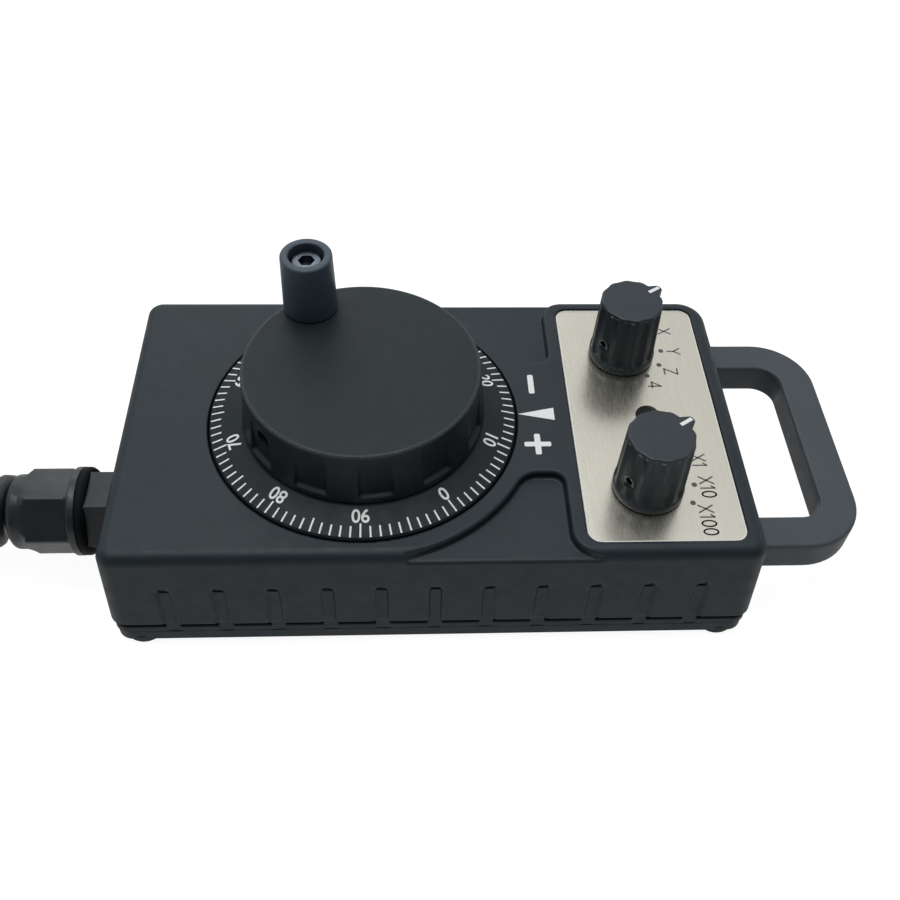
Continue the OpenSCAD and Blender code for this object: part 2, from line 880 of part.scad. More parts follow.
module dial_ring() {
    color("#1d1f22")
        difference() {
            at_dial()
                rotate_extrude($fn = 144)
                    polygon([
                        [dial_hub_r, dial_foot],
                        [dial_r, dial_foot],
                        [dial_r, case_top - 0.1],
                        [dial_r - 0.3, case_top + 0.3],
                        [dial_flat_r, dial_flat],
                        [dial_hub_r, dial_flat]
                    ]);
            round_dial(knob_boss_circle, knob_boss_angles) {
                translate([0, 0, dial_foot - 1]) cylinder(h = 10, r = 1.3, $fn = 48);
                translate([0, 0, dial_foot - 1]) cylinder(h = 2.6, r = 2.5, $fn = 48);
            }
        }
}

module dial_screws() {
    color("#8d8f92")
        round_dial(knob_boss_circle, knob_boss_angles)
            translate([0, 0, dial_foot + 1.6]) screw_up(1.25, 8, 2.4, 1.4, 1);
}

// Side wall of the knob: a shallow cone with a rounded rim
module knob_skin() {
    rim = 1;
    rotate_extrude($fn = 144) {
        polygon([
            [0, knob_foot],
            [knob_r, knob_foot],
            [knob_top_r, knob_top - rim],
            [knob_top_r - rim, knob_top],
            [0, knob_top]
        ]);
        translate([knob_top_r - rim, knob_top - rim]) circle(r = rim, $fn = 48);
    }
}

module knob_pocket() {
    rotate([0, 0, -pocket_width / 2])
        rotate_extrude(angle = pocket_width, $fn = 144)
            polygon([
                [knob_r - pocket_depth - 0.05, pocket_foot],
                [knob_r + 2, pocket_foot],
                [knob_r + 2, pocket_top],
                [knob_top_r - pocket_depth, pocket_top]
            ]);
}

module handwheel_knob() {
    boss_h = knob_roof - dial_flat + 1;
    color("#26282b")
        difference() {
            union() {
                at_dial()
                    difference() {
                        knob_skin();
                        translate([0, 0, knob_foot - 1])
                            cylinder(h = knob_roof - knob_foot + 1, r = knob_r - knob_wall);
                    }
                at_dial() translate([0, 0, dial_flat]) cylinder(h = boss_h, r = 6.5);
                at_dial()
                    translate([crank_x, crank_y, knob_roof - 5]) cylinder(h = 6, r = 4, $fn = 48);
                round_dial(knob_boss_circle, knob_boss_angles)
                    translate([0, 0, dial_flat]) cylinder(h = boss_h, r = 3.2, $fn = 48);
                // ribs from the hub to the wall
                for (a = knob_boss_angles)
                    at_dial()
                        rotate(a) translate([5, -0.8, dial_flat + 1.5]) cube([16.5, 1.6, boss_h - 1.5]);
            }
            at_dial() {
                for (k = [0 : pockets - 1]) rotate(pocket_start + k * 360 / pockets) knob_pocket();
                translate([0, 0, dial_flat - 1]) cylinder(h = shaft_top - dial_flat + 1.3, r = shaft_r + 0.02);
                rotate(knob_screw_angle)
                    translate([0, 0, knob_screw_z]) rotate([0, 90, 0]) cylinder(h = 30, r = 1.6, $fn = 48);
                translate([crank_x, crank_y, knob_roof - 6]) cylinder(h = 20, r = crank_pin_r + fit, $fn = 48);
            }
            round_dial(knob_boss_circle, knob_boss_angles)
                translate([0, 0, dial_flat - 1]) cylinder(h = 8, r = 1.25 + fit, $fn = 48);
        }
}

module knob_set_screw() {
    color("#5c5e60")
        at_dial()
            rotate(knob_screw_angle)
                translate([shaft_r - 0.5, 0, knob_screw_z])
                    rotate([0, 90, 0])
                        difference() {
                            cylinder(h = 6, r = 1.55, $fn = 48);
                            translate([0, 0, 4]) cylinder(h = 4, r = 0.85, $fn = 6);
                        }
}

module crank_screw() {
    head_foot = grip_shelf + 0.08;
    color("#55585c")
        at_dial()
            translate([crank_x, crank_y, 0])
                difference() {
                    union() {
                        translate([0, 0, knob_roof - 5])
                            cylinder(h = head_foot - knob_roof + 6, r = crank_pin_r, $fn = 48);
                        translate([0, 0, head_foot]) cylinder(h = 3.4, r = crank_head_r, $fn = 48);
                    }
                    translate([0, 0, head_foot + 1.4]) cylinder(h = 4, r = 1.45, $fn = 6);
                }
}

// Turns freely on the shoulder of its screw
module crank_grip() {
    top_r = grip_r - 0.36;
    rim = 0.5;
    color("#26282b")
        at_dial()
            translate([crank_x, crank_y, 0])
                rotate_extrude()
                    difference() {
                        union() {
                            polygon([
                                [0, grip_foot],
                                [grip_r - 0.2, grip_foot],
                                [grip_r, grip_foot + 0.2],
                                [top_r, grip_top - rim],
                                [top_r - rim, grip_top],
                                [0, grip_top]
                            ]);
                            translate([top_r - rim, grip_top - rim]) circle(r = rim, $fn = 32);
                        }
                        translate([-1, grip_foot - 1]) square([crank_pin_r + fit + 1, 30]);
                        translate([-1, grip_shelf]) square([crank_head_r + 0.2 + 1, 30]);
                    }
}

// ---------------------------------------------------------------- gland, cable and cord

module gland_body() {
    color("#2b2d30")
        along_gland()
            difference() {
                union() {
                    translate([0, 0, 50.5]) cylinder(h = gland_hex_end - 50, r = gland_stub_r);
                    rotate(-32)
                        intersection() {
                            translate([0, 0, gland_seat])
                                cylinder(h = gland_hex_end - gland_seat + 0.2, d = gland_af / cos(30), $fn = 6);
                            translate([0, 0, gland_seat])
                                cylinder(h = 6, r1 = gland_af / 2 + 0.5, r2 = gland_af / 2 + 6);
                        }
                    translate([0, 0, gland_hex_end]) cylinder(h = gland_flange_end - gland_hex_end, r = 8.4);
                    translate([0, 0, gland_flange_end - 0.2])
                        cylinder(h = gland_spigot_end - gland_flange_end + 0.2, r = 6);
                }
                translate([0, 0, 49]) cylinder(h = 40, r = 3.4);
                translate([0, 0, seal_foot - 0.1]) cylinder(h = 10, r = 4.9);
            }
}

module gland_locknut() {
    color("#2b2d30")
        along_gland()
            difference() {
                rotate(30)
                    translate([0, 0, half_l - 7]) cylinder(h = 3.5, d = 14.4 / cos(30), $fn = 6);
                translate([0, 0, half_l - 8]) cylinder(h = 6, r = gland_stub_r + fit);
            }
}

module gland_seal() {
    color("#111112")
        along_gland() ring(seal_foot, seal_end, 4.8, wire_r + 0.02);
}

// Cap nut: hexagon with chamfered ends, then a round neck
module gland_clamp_nut() {
    nut_r = gland_af / 2 / cos(30) - 0.15;
    nut_l = gland_nut_end - gland_nut_foot;
    color("#2b2d30")
        along_gland()
            difference() {
                union() {
                    rotate(-20)
                        intersection() {
                            translate([0, 0, gland_nut_foot]) cylinder(h = nut_l, r = nut_r, $fn = 6);
                            translate([0, 0, gland_nut_foot])
                                rotate_extrude()
                                    polygon([
                                        [0, 0],
                                        [nut_r - 0.7, 0],
                                        [nut_r + 0.2, 1.5],
                                        [nut_r + 0.2, nut_l - 1.6],
                                        [6.9, nut_l],
                                        [0, nut_l]
                                    ]);
                        }
                    rotate_extrude()
                        polygon([
                            [0, gland_nut_end - 0.3],
                            [7.15, gland_nut_end - 0.3],
                            [7.15, gland_end - 1.5],
                            [6.8, gland_end - 0.9],
                            [5.8, gland_end],
                            [0, gland_end]
                        ]);
                }
                translate([0, 0, gland_nut_foot - 1]) cylinder(h = seal_end + 1.2 - gland_nut_foot, r = 6 + fit);
                translate([0, 0, gland_nut_foot]) cylinder(h = 20, r = wire_r + 0.4);
            }
}

// The cable inside the gland and the casing, down to the terminals
module cable_lead() {
    bend = 8;
    turn_x = -50;
    color("#17181a") {
        along_gland() translate([0, 0, -turn_x]) cylinder(h = gland_end + turn_x, r = wire_r, $fn = 48);
        translate([turn_x, gland_y + bend, gland_z])
            rotate(-90) rotate_extrude(angle = 90, $fn = 48) translate([bend, 0]) circle(r = wire_r, $fn = 48);
        translate([turn_x + bend, gland_y + bend, gland_z])
            rotate([-90, 0, 0]) cylinder(h = 1.2, r = wire_r, $fn = 48);
    }
}

// Screw terminals for the cable's cores, with a clamping screw for each
module terminal_block() {
    ways = 5;
    foot_z = cover_top + 0.3;
    color("#2f6f8f")
        difference() {
            translate([-50, -4, foot_z]) cube([9.4, 24, 13]);
            for (k = [0 : ways - 1])
                translate([-45.3, -1 + k * 4.6, foot_z + 7]) cylinder(h = 10, r = 1.7, $fn = 32);
        }
}

// Flat cable from the terminals, along the back wall, to the control board
module wiring_ribbon() {
    t = 0.8;
    low = pcb_top + 1;
    h = 4;
    color("#9a9ca0") {
        translate([-41.6, 20, low]) cube([t, 7.4, h]);
        translate([-41.6, 26.6, low]) cube([70.6, t, h]);
        translate([29 - t, 25, low]) cube([t, 2.4, h]);
    }
}

function unit(v) = v / norm(v);
function route_way(p, i) = unit(p[min(i + 1, len(p) - 1)] - p[max(i - 1, 0)]);

// Points of one ring round the route, square to its way
function route_ring(p, i, r) =
    let (way = route_way(p, i), side = unit(cross(way, [0, 0, 1])), up = cross(side, way))
        [for (k = [0 : cord_sides - 1])
            p[i] + r * (cos(k * 360 / cord_sides) * side + sin(k * 360 / cord_sides) * up)];

module curly_cord() {
    rings = len(cord_route);
    ring_points = [for (i = [0 : rings - 1]) each route_ring(cord_route, i, cord_d / 2)];
    walls = [
        for (i = [0 : rings - 2], k = [0 : cord_sides - 1])
            let (a = i * cord_sides + k, b = i * cord_sides + (k + 1) % cord_sides)
                [a, b, b + cord_sides, a + cord_sides]
    ];
    near_cap = [for (k = [cord_sides - 1 : -1 : 0]) k];
    far_cap = [for (k = [0 : cord_sides - 1]) (rings - 1) * cord_sides + k];
    color("#17181a") polyhedron(points = ring_points, faces = concat([near_cap], walls, [far_cap]));
}

// Strain-relief boot of the connector, tapering to the shell
module connector_boot() {
    color("#1c1d1f")
        along_connector()
            difference() {
                translate([0, 0, cord_end]) cylinder(h = 12, r1 = 4.5, r2 = 6.2);
                translate([0, 0, cord_end - 1]) cylinder(h = 14, r = wire_r);
            }
}

module connector_shell() {
    color("#b9bcc0")
        along_connector()
            difference() {
                union() {
                    translate([0, 0, cord_end + 12]) cylinder(h = 16, r = 7);
                    translate([0, 0, cord_end + 28]) cylinder(h = 9, r = 6.2);
                }
                translate([0, 0, cord_end + 14]) cylinder(h = 30, r = 5.4);
                translate([0, 0, cord_end + 11]) cylinder(h = 30, r = wire_r);
            }
}

// Knurled coupling ring that turns the connector's thread
module connector_ring() {
    ribs = 24;
    color("#c9ccd0")
        along_connector()
            difference() {
                translate([0, 0, cord_end + 28.2])
                    linear_extrude(height = 11)
                        difference() {
                            circle(r = connector_r);
                            for (k = [0 : ribs - 1])
                                rotate((k + 0.5) * 360 / ribs)
                                    translate([connector_r + 0.35, 0]) circle(r = 0.7, $fn = 24);
                        }
                translate([0, 0, cord_end + 28]) cylinder(h = 13, r = 6.2 + fit);
            }
}

module connector_insert() {
    color("#17181a")
        along_connector()
            difference() {
                translate([0, 0, cord_end + 18]) cylinder(h = 16, r = 5.35);
                for (a = [0 : 60 : 300])
                    rotate(a) translate([3.2, 0, cord_end + 28]) cylinder(h = 10, r = 0.6, $fn = 24);
            }
}

housing_shell();
bottom_cover();
cover_gasket();
cover_screws();
rubber_feet();
carry_handle();
handle_screws();
face_plate();
indicator_led();
control_pcb();
axis_switch();
multiplier_switch();
switch_washers();
switch_nuts();
encoder_housing();
encoder_gasket();
encoder_screws();
encoder_rear_cap();
encoder_cap_screws();
front_bearing();
rear_bush();
encoder_pcb();
optical_sensor();
detent_magnet();
terminal_block();
wiring_ribbon();
cable_lead();
gland_body();
gland_locknut();
gland_seal();
gland_clamp_nut();
encoder_shaft();
code_disc();
detent_wheel();
dial_ring();
dial_screws();
handwheel_knob();
knob_set_screw();
crank_screw();
crank_grip();
axis_shaft();
axis_knob();
axis_set_screw();
multiplier_shaft();
multiplier_knob();
multiplier_set_screw();
curly_cord();
connector_boot();
connector_shell();
connector_ring();
connector_insert();
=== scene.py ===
"""Looks of the pulse generator handwheel: finishes, markings, rounded visible forms and the curly cord.

Lengths below are in millimetres in the frame of the CAD model, and MM turns them into Blender's metres.
+X points to the carry handle, -Y to the user, +Z up, and the feet stand on Z = 0.
"""
import json
import math

import bpy
import numpy as np
from mathutils import Matrix, Vector


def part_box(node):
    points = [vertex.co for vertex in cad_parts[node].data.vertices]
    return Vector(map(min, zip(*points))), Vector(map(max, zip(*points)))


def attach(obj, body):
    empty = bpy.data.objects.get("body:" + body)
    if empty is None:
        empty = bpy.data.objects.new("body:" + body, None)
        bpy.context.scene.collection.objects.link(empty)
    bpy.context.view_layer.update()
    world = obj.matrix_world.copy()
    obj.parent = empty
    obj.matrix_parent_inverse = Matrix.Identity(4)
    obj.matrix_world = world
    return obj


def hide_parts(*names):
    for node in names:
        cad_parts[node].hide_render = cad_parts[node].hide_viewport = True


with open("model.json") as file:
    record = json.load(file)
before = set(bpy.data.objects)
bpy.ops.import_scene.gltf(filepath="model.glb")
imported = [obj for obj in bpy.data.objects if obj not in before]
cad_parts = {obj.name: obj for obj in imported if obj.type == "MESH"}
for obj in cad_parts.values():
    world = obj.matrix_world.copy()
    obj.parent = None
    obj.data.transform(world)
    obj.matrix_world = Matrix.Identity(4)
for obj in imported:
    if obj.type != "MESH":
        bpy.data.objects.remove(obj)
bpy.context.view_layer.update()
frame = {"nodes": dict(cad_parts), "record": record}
MM = 0.001
TAU = 2 * math.pi


# ---- sizes

def node_box(node):
    """Lowest and highest corner of a CAD node, in millimetres."""
    low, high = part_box(node)
    return low / MM, high / MM


DIAL_MIN, DIAL_MAX = node_box("dial_ring")
DIAL_X = (DIAL_MIN.x + DIAL_MAX.x) / 2
DIAL_R = (DIAL_MAX.x - DIAL_MIN.x) / 2
DIAL_RIM = DIAL_R - 0.3
DIAL_FLAT_R = 23.4
KNOB_MIN, KNOB_MAX = node_box("handwheel_knob")
KNOB_LOW = DIAL_MAX.z + 0.25
KNOB_HIGH = KNOB_MAX.z
KNOB_R = (KNOB_MAX.x - KNOB_MIN.x) / 2
KNOB_TOP_R = KNOB_R - 1.15
GRIP_LOW, GRIP_HIGH = node_box("crank_grip")
GRIP_SPOT = ((GRIP_LOW.x + GRIP_HIGH.x) / 2, (GRIP_LOW.y + GRIP_HIGH.y) / 2)
GRIP_R = (GRIP_HIGH.x - GRIP_LOW.x) / 2
SHELL_LOW, SHELL_HIGH = node_box("housing_shell")
TOP = SHELL_HIGH.z
PLATE_LOW, PLATE_HIGH = node_box("face_plate")
PLATE_CORNER = 2.4
SELECTOR_X = 39.3
SELECTOR_Y = {"axis_knob": 17.0, "multiplier_knob": -17.8}
SELECTOR_LOW, SELECTOR_HIGH = (corner.z for corner in node_box("axis_knob"))
SELECTOR_R = 6.6
POINTER = 33.0
HALF_L = 59.0
HALF_W = 33.0
SLOPE = math.tan(math.radians(3.2))
GLAND_Y = -13.2
GLAND_Z = node_box("carry_handle")[1].z - 4.95
NECK_END = -node_box("gland_clamp_nut")[0].x
# printed marks reach from just under their surface to an ink's thickness above it
UNDER = -0.02
INK = 0.03


# ---- mesh helpers

def add_object(name, data):
    """A new object in the scene."""
    added = bpy.data.objects.new(name, data)
    bpy.context.scene.collection.objects.link(added)
    return added


def new_mesh(name, points, faces):
    """Mesh data from points in millimetres."""
    mesh = bpy.data.meshes.new(name)
    mesh.from_pydata([tuple(c * MM for c in p) for p in points], [], faces)
    return mesh


def new_piece(name, points, faces, body, slot_name, material, sharp=32):
    """A mesh piece from points in millimetres, riding on a CAD body."""
    mesh = new_mesh(name, points, faces)
    mesh.validate()
    piece = add_object(name, mesh)
    mesh.materials.append(material)
    smooth(mesh, sharp)
    flatten_shading(piece)
    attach(piece, body)
    return piece


def smooth(mesh, sharp):
    """Smooth shading, with edges sharper than the angle in degrees kept crisp."""
    mesh.polygons.foreach_set("use_smooth", [True] * len(mesh.polygons))
    mesh.set_sharp_from_angle(angle=math.radians(sharp))


def flatten_shading(piece):
    """Large faces keep their own slope, and the shading turns within the narrow ones."""
    weighted = piece.modifiers.new("shading", "WEIGHTED_NORMAL")
    weighted.keep_sharp = True
    weighted.weight = 80


def fillet(corners, steps=5):
    """A polyline from (a, b, radius) corners, each rounded by an arc of that radius."""
    line = []
    for i, (a, b, radius) in enumerate(corners):
        here = Vector((a, b))
        if radius <= 0 or i in (0, len(corners) - 1):
            line.append((a, b))
            continue
        back = (Vector(corners[i - 1][:2]) - here).normalized()
        on = (Vector(corners[i + 1][:2]) - here).normalized()
        half = math.acos(max(-1, min(1, back.dot(on)))) / 2
        reach = radius / math.tan(half)
        centre = here + (back + on).normalized() * (radius / math.sin(half))
        start = here + back * reach - centre
        turn = math.pi - 2 * half
        sign = 1 if start.x * (on.y - back.y) - start.y * (on.x - back.x) > 0 else -1
        for k in range(steps + 1):
            angle = sign * turn * k / steps
            c, s = math.cos(angle), math.sin(angle)
            p = centre + Vector((start.x * c - start.y * s, start.x * s + start.y * c))
            line.append((p.x, p.y))
    return line


def turned(profile, angles, shape=None, spot=(0, 0)):
    """Points and faces of a turned body. profile runs from pole to pole as (radius, z), and
    shape(angle, radius, z) may change a ring's radius round the axis."""
    points, rings = [], []
    for radius, z in profile:
        if radius < 1e-6:
            rings.append([len(points)])
            points.append((spot[0], spot[1], z))
            continue
        ring = []
        for a in angles:
            r = shape(a, radius, z) if shape else radius
            ring.append(len(points))
            points.append((spot[0] + r * math.cos(a), spot[1] + r * math.sin(a), z))
        rings.append(ring)
    faces = []
    n = len(angles)
    for low, high in zip(rings, rings[1:]):
        for k in range(n):
            j = (k + 1) % n
            if len(low) == 1:
                faces.append((low[0], high[j], high[k]))
            elif len(high) == 1:
                faces.append((low[k], low[j], high[0]))
            else:
                faces.append((low[k], low[j], high[j], high[k]))
    return points, faces


def full_turn(count):
    """Evenly spaced angles of a whole turn."""
    return [TAU * k / count for k in range(count)]


def along(points, origin, way, up=(0, 0, 1)):
    """Points whose local z runs along way from origin, with local x nearest to up."""
    z = Vector(way).normalized()
    x = (Vector(up) - z * Vector(up).dot(z)).normalized()
    y = z.cross(x)
    place = Matrix((x, y, z)).transposed()
    return [tuple(Vector(origin) + place @ Vector(p)) for p in points]


def pin(radius, start, end, centre, angle):
    """A round pin lying level, from start to end along an angle from a centre."""
    points, faces = turned([(0, start), (radius, start), (radius, end), (0, end)], full_turn(48))
    return along(points, centre, (math.cos(angle), math.sin(angle), 0)), faces


def prism(outline, low, high):
    """Points and faces of an upright prism on an anticlockwise outline."""
    n = len(outline)
    points = [(x, y, low) for x, y in outline] + [(x, y, high) for x, y in outline]
    faces = [tuple(reversed(range(n))), tuple(range(n, 2 * n))]
    faces += [(k, (k + 1) % n, n + (k + 1) % n, n + k) for k in range(n)]
    return points, faces


def merged(parts):
    """Several (points, faces) lists as one."""
    points, faces = [], []
    for more_points, more_faces in parts:
        base = len(points)
        points += list(more_points)
        faces += [tuple(base + i for i in face) for face in more_faces]
    return points, faces


def stadium(a, b, width, steps=8):
    """Outline of a bar with round ends, from a to b."""
    a, b = Vector(a), Vector(b)
    way = (b - a).normalized()
    side = Vector((-way.y, way.x))
    outline = []
    for end, turn in ((b, -1), (a, 1)):
        for k in range(steps + 1):
            angle = math.pi * k / steps
            p = end - turn * (way * math.sin(angle) + side * math.cos(angle)) * width / 2
            outline.append((p.x, p.y))
    return outline


# ---- materials

def tone(r, g, b):
    """Linear colour from display values of 0 to 255."""
    def linear(c):
        c /= 255
        return c / 12.92 if c <= 0.04045 else ((c + 0.055) / 1.055) ** 2.4
    return (linear(r), linear(g), linear(b), 1.0)


def scaled(colour, k):
    """A colour made darker or lighter."""
    return tuple(min(1.0, c * k) for c in colour[:3]) + (1.0,)


def add_node(tree, kind, **inputs):
    """A shader node whose named inputs are set, or linked where a value is another node's output."""
    node = tree.nodes.new("ShaderNode" + kind)
    for name, value in inputs.items():
        socket = node.inputs[name.replace("_", " ")]
        if isinstance(value, bpy.types.NodeSocket):
            tree.links.new(value, socket)
        else:
            socket.default_value = value
    return node


def calculate(tree, operation, *operands):
    """Output of a maths node whose operands are numbers or other nodes' outputs."""
    node = add_node(tree, "Math")
    node.operation = operation
    for socket, operand in zip(node.inputs, operands):
        if isinstance(operand, bpy.types.NodeSocket):
            tree.links.new(operand, socket)
        else:
            socket.default_value = operand
    return node.outputs[0]


def mapped(tree, factor, low, high, start=0, end=1):
    """A factor's stretch from start to end, mapped to the numbers from low to high."""
    node = add_node(
        tree, "MapRange", Value=factor, From_Min=start, From_Max=end, To_Min=low, To_Max=high)
    return node.outputs["Result"]


class Finish:
    """A node material under construction, with helpers for the nodes used here."""

    def __init__(self, name, **constants):
        self.material = bpy.data.materials.new(name)
        self.material.use_nodes = True
        self.tree = self.material.node_tree
        self.shader = self.tree.nodes["Principled BSDF"]
        for socket, value in constants.items():
            self.shader.inputs[socket.replace("_", " ")].default_value = value
        self.coordinates = add_node(self.tree, "TexCoord").outputs["Object"]

    def stretched(self, scale):
        """Object coordinates scaled unevenly, for strokes and streaks."""
        return add_node(self.tree, "Mapping", Vector=self.coordinates, Scale=scale).outputs["Vector"]

    def noise(self, size, detail=3, rough=0.55, coordinates=None):
        """Noise with features of about size millimetres."""
        node = add_node(
            self.tree, "TexNoise", Vector=coordinates or self.coordinates,
            Scale=1 / (size * MM), Detail=detail, Roughness=rough)
        return node.outputs["Fac"]

    def ramp(self, factor, low, high, start=0.35, end=0.65):
        """Blends two colours by a factor."""
        node = add_node(self.tree, "ValToRGB", Fac=factor)
        for stop, position, colour in zip(node.color_ramp.elements, (start, end), (low, high)):
            stop.position = position
            stop.color = colour
        return node.outputs["Color"]

    def spread(self, factor, low, high, start=0.3, end=0.7):
        """Maps the middle of a noise to a range of numbers."""
        return mapped(self.tree, factor, low, high, start, end)

    def bump(self, height, depth, strength=1.0, **onto):
        """Bump of depth millimetres, on top of another one where its Normal is given."""
        node = add_node(
            self.tree, "Bump", Strength=strength, Distance=depth * MM, Height=height, **onto)
        return node.outputs["Normal"]

    def put(self, socket, output):
        """Links an output to one of the surface shader's inputs."""
        self.tree.links.new(output, self.shader.inputs[socket])

    def rub(self, mask, colour):
        """Blends another colour over the base colour where the mask says so."""
        mix = add_node(self.tree, "Mix")
        mix.data_type = "RGBA"
        self.tree.links.new(mask, mix.inputs["Factor"])
        base = self.shader.inputs["Base Color"].links[0].from_socket
        self.tree.links.new(base, mix.inputs["A"])
        mix.inputs["B"].default_value = colour
        self.put("Base Color", mix.outputs["Result"])


def plastic_finish(name, colour, rough=0.5, grain=0.25, depth=0.01, spread=0.12, specular=0.5):
    """Moulded plastic: faint colour clouds, uneven gloss and a fine spark-eroded grain."""
    f = Finish(name, Specular_IOR_Level=specular)
    f.put("Base Color", f.ramp(f.noise(9), scaled(colour, 1 - spread), scaled(colour, 1 + spread)))
    f.put("Roughness", f.spread(f.noise(2.5), rough - 0.05, rough + 0.06))
    fine = f.bump(f.noise(grain, 2), depth)
    f.put("Normal", f.bump(f.noise(grain * 4, 3), depth * 1.2, 0.6, Normal=fine))
    return f


def plastic(*look):
    """Material of a moulded plastic."""
    return plastic_finish(*look).material


def rubbed_plastic(radius, height, colour, *look):
    """Plastic of a part turned round the dial's axis, with a painted highlight of light specks along its
    top corner.
    """
    f = plastic_finish(*look)
    tree = f.tree
    place = add_node(tree, "SeparateXYZ", Vector=f.coordinates).outputs
    off_x = calculate(tree, "SUBTRACT", place["X"], DIAL_X * MM)
    squares = [calculate(tree, "MULTIPLY", side, side) for side in (off_x, place["Y"])]
    away = calculate(tree, "SQRT", calculate(tree, "ADD", *squares))
    outer = mapped(tree, away, 0, 1, (radius - 0.75) * MM, (radius - 0.35) * MM)
    upper = mapped(tree, place["Z"], 0, 1, (height - 0.6) * MM, (height - 0.25) * MM)
    highlight_specks = f.spread(f.noise(0.16, 2, 0.7), 0.05, 0.8, 0.42, 0.66)
    corner = calculate(tree, "MULTIPLY", outer, upper)
    # the specks over the top corner take the lighter colour: a painted highlight along the rim
    f.rub(calculate(tree, "MULTIPLY", corner, highlight_specks), colour)
    return f.material


def metal(name, colour, rough=0.3, grain=0.4, spread=0.1):
    """Bare or plated metal with faint stains and uneven polish."""
    f = Finish(name, Metallic=1.0)
    f.put("Base Color", f.ramp(f.noise(3), scaled(colour, 1 - spread), scaled(colour, 1 + spread)))
    f.put("Roughness", f.spread(f.noise(1.2), rough - 0.06, rough + 0.08))
    f.put("Normal", f.bump(f.noise(grain, 2), 0.004))
    return f.material


def brushed_plate(name, colour):
    """Aluminium brushed along Y: long fine strokes in the gloss, the tone and the relief."""
    f = Finish(name, Metallic=1.0)
    strokes = f.noise(1, 4, 0.65, f.stretched((9, 0.12, 1)))
    fine = f.noise(1, 3, 0.6, f.stretched((26, 0.5, 1)))
    f.put("Base Color", f.ramp(strokes, scaled(colour, 0.95), scaled(colour, 1.04)))
    f.put("Roughness", f.spread(fine, 0.2, 0.3))
    f.put("Normal", f.bump(fine, 0.004, 0.5))
    return f.material


def paint(name, colour, rough=0.45):
    """Printed ink, and the painted highlight on the plate's edge: a slightly uneven, thin coat."""
    f = Finish(name)
    f.put("Base Color", f.ramp(f.noise(0.6), scaled(colour, 0.94), scaled(colour, 1.0)))
    f.put("Roughness", f.spread(f.noise(0.8), rough - 0.05, rough + 0.1))
    f.put("Normal", f.bump(f.noise(0.2), 0.004))
    return f.material


CASING = plastic("casing", tone(32, 43, 49), 0.48, 0.22, 0.010, 0.06, 0.3)
COVER = plastic("cover", tone(42, 53, 59), 0.5, 0.22, 0.010, 0.06, 0.3)
HANDLE = plastic("handle", tone(70, 77, 83), 0.48, 0.22, 0.009, 0.05, 0.35)
# the knob's rim gets a painted highlight: light specks of tone(92, 99, 101) along its top corner
KNOB = rubbed_plastic(
    KNOB_TOP_R, KNOB_HIGH, tone(92, 99, 101),
    "knob", tone(27, 37, 40), 0.48, 0.3, 0.012, 0.06, 0.25)
GRIP = plastic("grip", tone(66, 79, 91), 0.42, 0.3, 0.008, 0.06, 0.35)
SET_SCREW = metal("set_screw", tone(88, 92, 98), 0.3)
SELECTOR = plastic("selector", tone(41, 51, 58), 0.4, 0.3, 0.006, 0.06, 0.4)
DIAL = plastic("dial", tone(32, 40, 43), 0.5, 0.3, 0.006, 0.06, 0.2)
NYLON = plastic("nylon", tone(36, 41, 45), 0.34, 0.5, 0.006)
# near black: the gland's seal ring, and the painted shade at the end of the knob's set-screw hole
DARK_SEAL_AND_SHADE = plastic("dark_ring", tone(13, 15, 17), 0.6, 0.5, 0.004, 0.05, 0.1)
CABLE = plastic("cable", tone(30, 33, 36), 0.4, 0.4, 0.008)
RUBBER = plastic("rubber", tone(24, 24, 25), 0.7, 0.3, 0.02)
FOOT = plastic("foot", tone(46, 48, 50), 0.6, 0.3, 0.015, 0.06, 0.3)
PLATE = brushed_plate("plate", tone(226, 222, 208))
SCREW_HEAD = metal("screw_head", tone(104, 111, 121), 0.26, 0.25, 0.25)
WHITE = paint("white_ink", tone(248, 249, 250))
GREY = paint("grey_ink", tone(96, 98, 98))
# near-white paint for the plate's chamfer: a painted highlight standing for the cut edge's reflection
EDGE_HIGHLIGHT_PAINT = paint("painted_edge_highlight", tone(244, 243, 238))

SLOT_FINISH = {
    "casing_plastic": CASING, "cover_plastic": COVER, "handle_plastic": HANDLE,
    "dial_black": DIAL, "knob_plastic": KNOB, "selector_plastic": SELECTOR,
    "switch_plastic": SELECTOR, "encoder_plastic": COVER, "gland_nylon": NYLON,
    "cable_pvc": CABLE, "seal_rubber": RUBBER, "foot_rubber": RUBBER, "plate_aluminium": PLATE,
    "zinc_steel": metal("zinc_steel", tone(175, 178, 182), 0.3),
    "bearing_steel": metal("ground_steel", tone(190, 192, 195), 0.22),
    "black_steel": metal("black_steel", tone(52, 54, 58), 0.34),
    "bush_bronze": metal("bronze", tone(176, 132, 78), 0.36),
    "connector_nickel": metal("nickel", tone(196, 196, 194), 0.2),
    "dark_lens": plastic("lens", tone(26, 28, 31), 0.45, 2.0, 0.002, 0.05, 0.15),
    "circuit_board": plastic("board", tone(26, 96, 62), 0.35, 0.6, 0.01),
    "terminal_plastic": plastic("terminal", tone(46, 104, 138), 0.4),
    "ribbon_pvc": plastic("ribbon", tone(150, 152, 156), 0.5),
    "disc_glass": plastic("film", tone(160, 178, 188), 0.15, 2.0, 0.002),
}


def dress_cad_nodes():
    """Every carried-over CAD node gets the finish of its slot."""
    slot_of = {s["node"]: s["material_slot"] for s in frame["record"]["subparts"]}
    for name, node in frame["nodes"].items():
        node.data.materials.clear()
        node.data.materials.append(SLOT_FINISH[slot_of[name]])


# ---- camera

